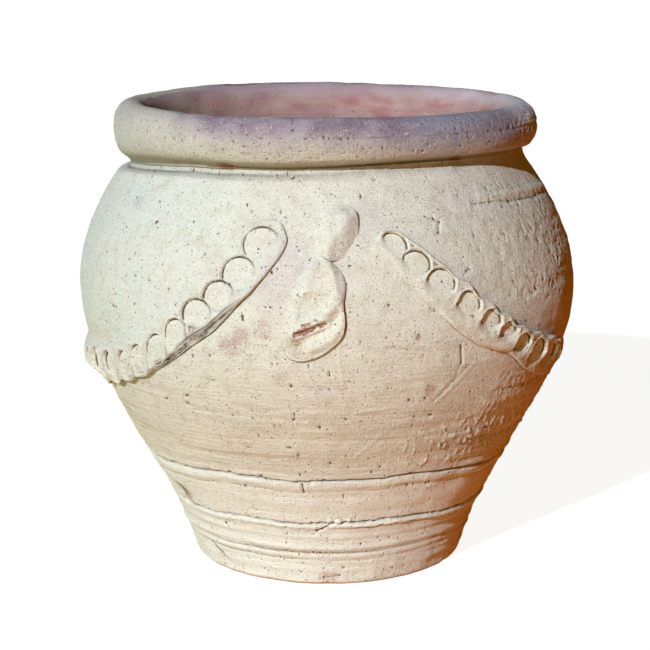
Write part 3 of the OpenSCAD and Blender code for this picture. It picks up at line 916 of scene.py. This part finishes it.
# Lines over the drop, in mm from its middle: folded lip, outer rim, lower hollow, left shoulder and two tears
LIP_PATH = [(5, 36), (8, 29), (10, 22), (12.2, 14), (12, 7), (9.6, 1.5), (4.4, -2.5), (-3.5, -7.5),
            (-11, -12)]
RIM_PATH = [(16, 9), (16.6, -1), (16, -8), (13, -15), (8, -19.5), (2, -23), (-6, -26.5), (-17, -28)]
HOLLOW_PATH = [(12.6, -4), (9, -8.6), (3, -13.2), (-5, -18), (-13, -22)]
SHOULDER_PATH = [(0, 34), (-9, 24), (-18, 13), (-23, 1)]
TEAR_PATH = [(-14.6, -15.8), (-9, -13.8), (-3, -11.2), (5, -8)]
UPPER_TEAR_PATH = [(-13.4, -14.4), (-9, -9.6), (-5, -7.2), (-1, -5)]


def drop(name, seed, back):
    """A petal thumbed twice: its right and lower edge stands up as a lip, its left side is smeared flat"""
    piece, share, turn, out = pat(name, 256, 150)
    reach = closed_outline(DROP_OUTLINE, turn)
    spread = share ** 0.9 * reach
    x, y = spread * np.sin(np.radians(turn)), spread * np.cos(np.radians(turn))
    lift = 2.7
    for path, rise, width in ((LIP_PATH, 2.0, 3.2), (RIM_PATH, 1.2, 3.0), (HOLLOW_PATH, -1.8, 3.6),
                              (SHOULDER_PATH, 0.8, 5)):
        lift = lift + rise * hump(off_path(x, y, path)[0], width)
    # The upper hollow steps down along an arc on its upper left, and rises gently to the right
    arc = np.hypot((x + 1.5) / 14, (y - 0.5) / 12)
    upper_left = ease(-0.5 * x + 0.86 * (y - 0.5), -4, 3)
    lift = lift - (0.6 + 1.1 * upper_left) * ease(arc, 1.12, 0.25 + 0.4 * upper_left)
    lift = lift + 0.4 * upper_left * hump(arc - 1.14, 0.09)
    # The clay tore between the two hollows, and its face is rough and bare
    low_tear, along_low = off_path(x, y, TEAR_PATH)
    high_tear, along_high = off_path(x, y, UPPER_TEAR_PATH)
    crumble = 0.6 * noise(x / 1.5 + 120, y / 1.5 + 120, seed + 3)
    crumble = crumble + 0.4 * noise(x / 0.7 + 160, y / 0.7 + 160, seed + 4)
    frayed = 1.3 * noise(x / 2.2 + 140, y / 2.2 + 140, seed + 5)
    bare = np.maximum(ease(low_tear + frayed, 3.6 - 2.0 * along_low, 1.4 - 0.9 * along_low),
                      0.9 * ease(high_tear + frayed, 3.0 - 1.6 * along_high, 1.0 - 0.6 * along_high))
    lift = lift - 1.3 * hump(low_tear, 1.2) + 0.7 * hump(low_tear - 2.6, 1.1) + bare * (0.9 * crumble - 0.5)
    lift = lift + 0.3 * noise(x / 6 + 40, y / 6 + 40, seed + 1)
    lift = lift + 0.2 * noise(x / 2 + 80, y / 2 + 80, seed + 2)
    in_from_edge = reach - spread
    sharp = ease(facing(turn, 150), 0.1, 0.55)
    soft = ease(facing(turn, 60), -0.05, 0.45) * (1 - sharp)
    lift = lift * (sharp * rounded(in_from_edge, 1.2) + soft * rounded(in_from_edge, 5.5)
                   + (1 - sharp - soft) * ease(in_from_edge, -0.5, 10))
    tuck = 1 - 0.05 * (sharp + soft) * ease(in_from_edge, 0.8, 0)
    lift = np.where(out & (share < 0.999), lift, -2)
    write_points(piece, near_face(DROP_ANGLE + 180 * back, DROP_H, x * tuck, y * tuck, lift))
    # Painted shade under the lip and the rim that stand up
    under = sharp * ease(share, 0.955, 0.975) + 0.5 * soft * ease(share, 0.98, 0.995)
    keep_on_points(piece, "painted_shade", under)
    keep_on_points(piece, "bare", bare * (0.8 + 0.4 * crumble) * (lift > -1))
    outward(piece)
    return piece


# The finishes

SMOOTH = {"interpolation_type": "SMOOTHSTEP"}


def linear(colour):
    """An sRGB hex colour as the linear value that a shader takes"""
    parts = [int(colour[i:i + 2], 16) / 255 for i in (1, 3, 5)]
    return [c / 12.92 if c <= 0.04045 else ((c + 0.055) / 1.055) ** 2.4 for c in parts] + [1]


def add(tree, kind, settings, inputs, output=0):
    """Adds a node with its settings; an input is a constant or the socket that feeds it"""
    made = tree.nodes.new("ShaderNode" + kind)
    for name, value in settings.items():
        setattr(made, name, value)
    for name, value in inputs.items():
        live = [s for s in made.inputs if s.enabled]
        socket = live[name] if isinstance(name, int) else next(s for s in live if s.name == name)
        if isinstance(value, bpy.types.NodeSocket):
            tree.links.new(value, socket)
        else:
            socket.default_value = value
    outputs = [s for s in made.outputs if s.enabled]
    return outputs[output] if outputs else None


def coats(tree, colour, layers):
    """Lays coats over a colour: the colour of each, a mask of where it lies, and how thick it is"""
    for shade, mask, amount in layers:
        part = add(tree, "Math", {"operation": "MULTIPLY"}, {0: mask, 1: amount})
        over = linear(shade) if isinstance(shade, str) else shade
        colour = add(tree, "Mix", {"data_type": "RGBA"}, {"Factor": part, "A": colour, "B": over})
    return colour


def mottle(tree, place, size, low, high, detail=3, stretch=(1, 1, 1), shift=0):
    """A mask of patches about size mm across: 0 where the noise is under low, 1 over high"""
    shifts = (shift, shift * 0.7, shift * 1.3)
    moved = add(tree, "Mapping", {}, {"Vector": place, "Scale": stretch, "Location": shifts})
    cloud = add(tree, "TexNoise", {}, {"Vector": moved, "Scale": 1 / (size * MM), "Detail": detail})
    return add(tree, "MapRange", SMOOTH, {"Value": cloud, "From Min": low, "From Max": high})


def zone(tree, place, axis, start, end, least=0, most=1, blend="SMOOTHSTEP"):
    """A mask that goes from least to most between two places in mm along an axis, 0 for X and 2 for Z"""
    along = add(tree, "SeparateXYZ", {}, {"Vector": place}, axis)
    return add(tree, "MapRange", {"interpolation_type": blend}, {
        "Value": along, "From Min": start * MM, "From Max": end * MM, "To Min": least, "To Max": most})


def total(tree, value, parts):
    """Adds to a value some sockets, each times its share"""
    for part, share in parts:
        value = add(tree, "Math", {"operation": "MULTIPLY_ADD"}, {0: part, 1: share, 2: value})
    return value


def blot(tree, place, centre, radius, fray=0.5):
    """A frayed round mask on one spot, 1 in its middle; centre and radius in mm"""
    point = [c * MM for c in centre]
    off = add(tree, "VectorMath", {"operation": "DISTANCE"}, {0: place, 1: point}, 0)
    frayed = add(tree, "TexNoise", {}, {"Vector": place, "Scale": 2.6 / (radius * MM), "Detail": 9,
                                        "Roughness": 0.72})
    spread = total(tree, off, [(frayed, radius * MM * fray * 2)])
    return add(tree, "MapRange", SMOOTH, {"Value": spread, "From Min": radius * MM * (1.15 + fray),
                                          "From Max": radius * MM * (0.35 + fray)})


def face_spot(angle, z):
    return on_face(np.array(float(angle)), np.array(float(z)), 0).tolist()


def ragged(tree, place):
    """The place pushed about by under a millimetre, so that grains aren't quite round"""
    push = add(tree, "TexNoise", {}, {"Vector": place, "Scale": 1 / (1.3 * MM), "Detail": 1}, 1)
    far = (1.1 * MM, 1.1 * MM, 1.1 * MM)
    return add(tree, "VectorMath", {"operation": "MULTIPLY_ADD"}, {0: push, 1: far, 2: place}, 0)


def specks(tree, place, spacing, smallest, largest, shift):
    """Grains in the slip: a mask of dots, one to a cell, with radii from smallest to largest in mm"""
    moved = add(tree, "Mapping", {}, {"Vector": place, "Location": (shift, shift, shift)})
    cells, pick = [add(tree, "TexVoronoi", {}, {"Vector": moved, "Scale": 1 / (spacing * MM)}, output)
                   for output in (0, 1)]
    chance = add(tree, "SeparateColor", {}, {"Color": pick}, 0)
    rare = add(tree, "Math", {"operation": "POWER"}, {0: chance, 1: 3.0})
    reach = total(tree, smallest / spacing, [(rare, (largest - smallest) / spacing)])
    return add(tree, "MapRange", {}, {"Value": cells, "From Min": reach, "From Max": 0.0, "To Max": 2.5})


def grainy(tree, colour, place, grains):
    """Scatters kinds of grains: spacing, smallest and largest radius, shift, colour and strength of each"""
    layers = [(shade, specks(tree, place, *sizes), amount) for *sizes, shade, amount in grains]
    return coats(tree, colour, layers)


def clay_material(name):
    material = bpy.data.materials.new(name)
    material.use_nodes = True
    material.node_tree.nodes.clear()
    return material, material.node_tree, add(material.node_tree, "TexCoord", {}, {}, 3)


def creased(tree, colour, dark, pale):
    """Paints shade in a dark colour in the creases and under the edges, and what stands proud is rubbed pale
    """
    crease_shade_and_rub, painted_shade = [add(tree, "Attribute", {"attribute_name": name}, {}, 2) for name in ("crease_shade_and_rub", "painted_shade")]
    sunk = add(tree, "MapRange", SMOOTH, {"Value": crease_shade_and_rub, "From Min": 0.52, "From Max": 0.62})
    proud = add(tree, "MapRange", SMOOTH, {"Value": crease_shade_and_rub, "From Min": 0.45, "From Max": 0.3})
    return coats(tree, colour, [(dark, sunk, 0.94), (pale, proud, 0.16), ("#21170d", painted_shade, 1)])


def grain_height(tree, place):
    """Fine relief of the dried slip: sand grains, soft lumps and brush hairs, weighed by what shows"""
    sand = add(tree, "TexNoise", {}, {"Vector": place, "Scale": 1 / (1.3 * MM), "Detail": 5,
                                      "Roughness": 0.62})
    soft = add(tree, "TexNoise", {}, {"Vector": place, "Scale": 1 / (4.5 * MM), "Detail": 2})
    hairs = add(tree, "Mapping", {}, {"Vector": place, "Scale": (0.08, 0.08, 1)})
    hairs = add(tree, "TexNoise", {}, {"Vector": hairs, "Scale": 1 / (1.3 * MM), "Detail": 2})
    return total(tree, 0.0, [(sand, 1.6), (soft, 0.45), (hairs, 0.7)])


def finish_clay(tree, place, colour, matt, depth, patch=12):
    """Joins the shader of fired clay: matt in patches between two roughnesses, with grain some mm deep"""
    dull = mottle(tree, place, patch, 0.3, 0.7)
    roughness = add(tree, "MapRange", {}, {"Value": dull, "To Min": matt[0], "To Max": matt[1]})
    grain = add(tree, "Bump", {}, {"Strength": 1.0, "Distance": depth * MM,
                                   "Height": grain_height(tree, place)})
    shader = add(tree, "BsdfPrincipled", {}, {"Base Color": colour, "Roughness": roughness, "Normal": grain,
                                              "IOR": 1.5, "Specular IOR Level": 0.25})
    add(tree, "OutputMaterial", {}, {"Surface": shader})


# Stains on the slip, and a painted shadow in the lime pit: angle, height, radius, colour and strength
SLIP_STAINS_AND_PIT_SHADE = [
    (-9, 258, 22, "#cbbac4", 0.5), (-13, 238, 18, "#cfbcc4", 0.45), (8, 284, 22, "#d4c8c8", 0.5),
    (-18.5, 207, 9, "#b58a84", 0.7), (-21, 199, 10, "#b58a84", 0.7), (-14, 213, 9, "#bd9a93", 0.6),
    (-29.5, 207, 7, "#a5765c", 0.8), (-7, 203, 9, "#b79a76", 0.6), (-54, 287, 8, "#b5b0af", 0.6),
    (18.6, 205.5, 3, "#9d6f72", 0.8), (22.4, 166.4, 6, "#a87c78", 0.75), (-55.8, 58, 7.5, "#c79d98", 0.9),
    # The dark brown spot at -58.2 degrees and 66.5 mm is a painted shadow in the upper part of the lime pit
    (-58.2, 66.5, 6.5, "#4f3d2b", 0.95), (0, 5, 8, "#d3a796", 0.8), (30, 160, 30, "#d0c2ae", 0.3),
    (-52, 17, 4, "#b97f50", 0.8), (-48.5, 13.5, 4, "#b97f50", 0.7), (-26, 262, 10, "#d8c0b4", 0.5),
    (34, 108, 28, "#d3c2aa", 0.3),
]
RIM_STAINS = [(-35, 334, 6, "#c39a55"), (-17, 351, 6, "#cfc48e"), (-27, 352, 5, "#d3c58c"),
              (-29, 315, 9, "#9a6428"), (38, 316, 9, "#9a6a3c")]
SLIP_GRAINS = [(1.3, 0.06, 0.6, 2.3, "#86745b", 0.7), (2.6, 0.02, 0.78, 3.1, "#54462f", 0.85),
               (9.5, 0.1, 1.15, 5.7, "#59452f", 0.85), (15, 0.1, 1.8, 8.9, "#b08d5c", 0.65)]
RIM_GRAINS = [(6.5, 0.1, 1.7, 9.3, "#c9bf94", 0.75), (2.2, 0.05, 0.8, 4.9, "#6a5b58", 0.6),
              (1.9, 0.05, 0.8, 6.9, "#ddd3c6", 0.55)]


def slip_colour(tree, place):
    """Cream lime slip over pink clay, painted cooler and greyer up left for the light there; beige and
    streaked low down
    """
    streaked = zone(tree, place, 2, 220, 120, 0.08, 0.5, "LINEAR")
    wiped = zone(tree, place, 2, 240, 160, 0.1, 0.4, "LINEAR")
    colour = coats(tree, linear("#ebe5d5"), [
        # Painted light: the upper left is made cooler and greyer, for the cool, dim light that falls on that
        # side
        ("#dde1d6", blot(tree, place, (-190, -90, 235), 185, 0.15), 1),
        ("#e9dfcc", zone(tree, place, 2, 210, 130), 0.85),
        ("#e6ddd0", mottle(tree, place, 45, 0.42, 0.68), 0.55),
        ("#d0c3a9", mottle(tree, place, 9, 0.48, 0.72, shift=0.3), 0.45),
        ("#d9c8bc", mottle(tree, place, 6, 0.52, 0.74, 4, shift=1.1), 0.3),
        ("#c8b99f", mottle(tree, place, 1.6, 0.42, 0.66, 4, shift=2.7), 0.32),
        ("#bfae93", mottle(tree, place, 2.6, 0.44, 0.68, 3, (0.035, 0.035, 1), 0.7), streaked),
        ("#f1ebdd", mottle(tree, place, 3.2, 0.52, 0.72, 2, (0.05, 0.05, 1), 1.9), wiped),
        # The two lowest bands had the last and thickest of the slip
        ("#f4efe2", zone(tree, place, 2, 112, 80), 0.84)])
    dusty = mottle(tree, place, 1.6, 0.3, 0.62, 5, shift=3.9)
    for angle, z, radius, shade, amount in SLIP_STAINS_AND_PIT_SHADE:
        blotted = blot(tree, place, face_spot(angle, z), radius)
        blotted = add(tree, "Math", {"operation": "MULTIPLY"}, {0: blotted, 1: dusty})
        colour = coats(tree, colour, [(shade, blotted, amount)])
    # A painted warm reflection along the foot's lowest edge, in an orange clay colour
    warm_bounce = zone(tree, place, 2, 2.6, 1.2, blend="LINEAR")
    return grainy(tree, coats(tree, colour, [("#c99257", warm_bounce, 0.8)]), ragged(tree, place), SLIP_GRAINS)


def slip_over_clay():
    """Lime slip, brushed and poured over thrown terracotta and fired: chalky, speckled, without gloss"""
    material, tree, place = clay_material("lime_slip_on_thrown_terracotta")
    # The dark colour is painted shade in the creases and under the edges
    colour = creased(tree, slip_colour(tree, place), "#584630", "#efe8d8")
    # Where the clay tore its raw red body shows
    bare = add(tree, "Attribute", {"attribute_name": "bare"}, {}, 2)
    bared = add(tree, "MapRange", SMOOTH, {"Value": bare, "From Min": 0.25, "From Max": 0.8})
    crumbs = mottle(tree, place, 2.6, 0.42, 0.6, 4, shift=5.1)
    raw = coats(tree, linear("#c29a86"), [("#83523a", crumbs, 1)])
    finish_clay(tree, place, coats(tree, colour, [(raw, bared, 1)]), (0.82, 0.95), 0.65)
    return material


def flashed_slip():
    """The same slip where the kiln's flame ran round the mouth: mauve to blue on top, cream below"""
    material, tree, place = clay_material("flame_flashed_slip_on_terracotta")
    x, z = [add(tree, "SeparateXYZ", {}, {"Vector": place}, axis) for axis in (0, 2)]
    cloud, fray = [add(tree, "TexNoise", {}, {"Vector": place, "Scale": 1 / (size * MM), "Detail": 4})
                   for size in (28, 1.4)]
    # The flash reaches further down towards the right
    edge = total(tree, z, [(x, 0.055), (cloud, 0.018), (fray, 0.02)])
    crest = add(tree, "MapRange", SMOOTH, {"Value": edge, "From Min": 0.34, "From Max": 0.368,
                                           "To Max": 0.95})
    mauve = coats(tree, linear("#8a7081"), [
        ("#a8949f", mottle(tree, place, 22, 0.38, 0.62, 3, shift=2.2), 1),
        ("#9892a6", blot(tree, place, (85, -118, 345), 60, 0.3), 0.85),
        # Painted light: the pale patch on the roll's top right stands in for light on that side
        ("#dbd7df", blot(tree, place, (150, -30, 352), 62, 0.3), 0.92),
        ("#937a85", mottle(tree, place, 8, 0.5, 0.72, 4, shift=4.1), 0.55)])
    colour = coats(tree, slip_colour(tree, place), [
        ("#b3a48f", 1.0, 0.3),
        # Painted shade: olive and darker on the roll's lower side, which faces down into the groove
        ("#b5a888", zone(tree, place, 2, 326, 312), 0.75),
        (mauve, crest, zone(tree, place, 0, -125, -85, 0.25)),
        ("#cfc3ba", mottle(tree, place, 2.4, 0.5, 0.8, 3, (0.3, 0.3, 1), 6.3), 0.35)])
    colour = grainy(tree, colour, ragged(tree, place), RIM_GRAINS)
    for angle, height, radius, shade in RIM_STAINS:
        spot = face_spot(angle, min(height, NECK_H + 6))[:2] + [height]
        colour = coats(tree, colour, [(shade, blot(tree, place, spot, radius), 0.8)])
    # The dark colour is painted shade in the creases and under the edges
    finish_clay(tree, place, creased(tree, colour, "#6f5a4a", "#e6dcd0"), (0.7, 0.9), 0.85)
    return material


def bare_clay():
    """Bare fired terracotta inside the pot: pink and sandy, reddened, with buff lime blooms"""
    material, tree, place = clay_material("bare_fired_terracotta")
    # Partly painted light: the flame's smoke near the top inside is real, and it is painted paler towards the
    # right, where light falls
    smoke_and_light = coats(tree, linear("#ae98a2"), [("#d2cacd", zone(tree, place, 0, 50, 125), 1)])
    colour = coats(tree, linear("#b68a83"), [
        ("#c3a198", mottle(tree, place, 30, 0.35, 0.65), 1),
        ("#a4645c", mottle(tree, place, 14, 0.5, 0.7, 3, (0.4, 0.4, 1), 1.3), 0.7),
        (smoke_and_light, zone(tree, place, 2, 338, 353), 0.8),
        ("#9c7c72", mottle(tree, place, 3.5, 0.5, 0.75, 2, (0.05, 0.05, 1), 2.9), 0.5),
        ("#b39a78", mottle(tree, place, 8, 0.57, 0.74, 4, shift=4.4), 0.7),
        ("#6e5048", specks(tree, place, 4, 0.1, 1.0, 7.7), 0.7)])
    # The dark colour is painted shade in the creases and under the edges
    finish_clay(tree, place, creased(tree, colour, "#6b4c40", "#cdb0a2"), (0.85, 0.97), 0.5, 10)
    return material


def dress(piece, slot, nodes, outside, inside=None, smoothed=()):
    """Smooths a piece, gives it its materials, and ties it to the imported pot"""
    pick_up(piece)
    bpy.ops.object.shade_smooth_by_angle(angle=math.radians(62))
    settle_crease_shade(piece, smoothed)
    piece.data.materials.append(outside)
    if inside:
        piece.data.materials.append(inside)
        faces = piece.data.polygons
        centres, normals = np.empty((2, len(faces) * 3))
        faces.foreach_get("center", centres)
        faces.foreach_get("normal", normals)
        centres, normals = centres.reshape(-1, 3), normals.reshape(-1, 3)
        inward = (centres[:, :2] * normals[:, :2]).sum(axis=1) < 0
        if slot == "flashed_rim":
            inward &= np.hypot(centres[:, 0], centres[:, 1]) < (ROLL_R - 2) * MM
        faces.foreach_set("material_index", inward.astype(np.int32))
    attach(piece, "root")
    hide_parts(*nodes)


slip = slip_over_clay()
flashed = flashed_slip()
clay = bare_clay()
belly_line = flat_line(BELLY_H)

dress(floor_disc(), "bare_clay", ["floor_disc"], clay)
dress(foot_band(), "slipped_clay", ["foot_band"], slip, clay)
dress(wall_piece("clay_lower_band", LOW_RING_H, HIGH_RING_H, low_ring, high_ring, True, True),
      "slipped_clay", ["lower_band"], slip, clay)
dress(wall_piece("clay_belly_wall", HIGH_RING_H, BELLY_H, high_ring, belly_line, True, False),
      "slipped_clay", ["belly_wall"], slip, clay, [belly_line])
dress(wall_piece("clay_shoulder_wall", BELLY_H, NECK_H, belly_line, neck_line, False, False, SHOULDER_STEP),
      "slipped_clay", ["shoulder_wall"], slip, clay, [belly_line, wall_end_h])
dress(rim_roll(), "flashed_rim", ["rim_roll"], flashed, clay, [wall_end_h])
dress(left_swag(), "slipped_clay", ["left_swag"], slip)
dress(right_swag(), "slipped_clay", ["right_swag"], slip)
dress(button("clay_front_button", 101, 0), "slipped_clay", ["front_button"], slip)
dress(button("clay_back_button", 105, 1), "slipped_clay", ["back_button"], slip)
dress(drop("clay_front_drop", 111, 0), "slipped_clay", ["front_drop"], slip)
dress(drop("clay_back_drop", 117, 1), "slipped_clay", ["back_drop"], slip)


# The plain floor, the light and the camera

# Radius of the studio floor in metres
GROUND_R = 30
# The way to the low evening light, and the colours of light, which are linear and may be brighter than white
DUSK_WAY = (0.772, -0.154, -0.617)
SKY_LEFT, SKY_RIGHT = [0.2, 0.22, 0.21, 1], [0.02, 0.035, 0.0, 1]
GROUND_PALE, GROUND_WARM = [3.5, 4.6, 3.7, 1], [3.5, 4.1, 1.5, 1]
LEFT_SHADE = [0.175, 0.187, 0.2, 1]
DUSK_HIGH, DUSK_LOW = [0.03, 0.05, 0.0, 1], [0.46, 0.065, 0.0, 1]
KEY_HEIGHT, KEY_SIDE = 27, -25.5


def studio():
    """A pale floor that takes the pot's shadow, soft light from all round, and a key light"""
    bpy.context.scene.view_settings.view_transform = "Standard"
    bpy.ops.object.select_all(action="DESELECT")
    bpy.ops.mesh.primitive_circle_add(vertices=96, radius=GROUND_R, fill_type="NGON", location=(0, 0, 0))
    ground = bpy.context.object
    ground.name = "studio_floor"
    material = bpy.data.materials.new("pale_studio_floor")
    material.use_nodes = True
    shader = material.node_tree.nodes["Principled BSDF"]
    shader.inputs["Base Color"].default_value = linear("#7c7b79")
    shader.inputs["Roughness"].default_value = 0.95
    shader.inputs["Emission Color"].default_value = linear("#fffefc")
    shader.inputs["Emission Strength"].default_value = 0.91
    ground.data.materials.append(material)
    # It throws no light back on the pot
    ground.visible_diffuse = False
    ground.visible_glossy = False
    ground.visible_shadow = False

    # Pale light comes up from the ground, dimmer light from above and the left, warm light from low right
    world = bpy.data.worlds.new("sky_and_dusk")
    bpy.context.scene.world = world
    world.use_nodes = True
    tree = world.node_tree
    way = add(tree, "TexCoord", {}, {}, 0)
    x, z = [add(tree, "SeparateXYZ", {}, {"Vector": way}, axis) for axis in (0, 2)]
    to_dusk = add(tree, "VectorMath", {"operation": "DOT_PRODUCT"}, {0: way, 1: DUSK_WAY}, 0)
    low, left, right, near_dusk, dusk = [
        add(tree, "MapRange", SMOOTH, {"Value": value, "From Min": start, "From Max": end})
        for value, start, end in ((z, 0.1, -0.2), (x, -0.1, -0.8), (x, -0.4, 0.15),
                                  (to_dusk, -0.2, 0.05), (to_dusk, 0.0, 0.3))]
    sky = coats(tree, SKY_LEFT, [(SKY_RIGHT, right, 1)])
    from_ground = coats(tree, GROUND_PALE, [(GROUND_WARM, near_dusk, 1)])
    warm = coats(tree, DUSK_HIGH, [(DUSK_LOW, low, 1)])
    light = coats(tree, sky, [(from_ground, low, 1), (LEFT_SHADE, left, 1), (warm, dusk, 1)])
    tree.links.new(light, tree.nodes["Background"].inputs["Color"])
    tree.nodes["Background"].inputs["Strength"].default_value = 1.0

    # The key light comes from the front left, fairly low
    turn = (math.radians(90 - KEY_HEIGHT), 0, math.radians(KEY_SIDE))
    bpy.ops.object.light_add(type="SUN", rotation=turn)
    key = bpy.context.object
    key.name = "key_light"
    key.data.energy = 3.68
    key.data.angle = math.radians(1.2)
    key.data.color = linear("#e9f2ff")[:3]


# The camera stands in front of the pot and looks at a point on its axis; lengths are in metres,
# but the focal length, the shift and the width of the picture are in pixels, and the sensor's in mm
CAMERA_BACK = 1.38604
CAMERA_H = 0.47582
LOOK_H = 0.17583
FOCAL = 1814.5
SHIFT = -4.27
PICTURE_W = 650
SENSOR_W = 36


def camera():
    """Stands where the photographer stood, a little above the rim"""
    bpy.ops.object.camera_add(location=(0, -CAMERA_BACK, CAMERA_H))
    seen = bpy.context.object
    seen.name = "camera"
    seen.rotation_euler = (math.pi / 2 - math.atan2(CAMERA_H - LOOK_H, CAMERA_BACK), 0, 0)
    seen.data.sensor_width = SENSOR_W
    seen.data.lens = SENSOR_W * FOCAL / PICTURE_W
    seen.data.shift_x = SHIFT / PICTURE_W
    bpy.context.scene.camera = seen


studio()
camera()
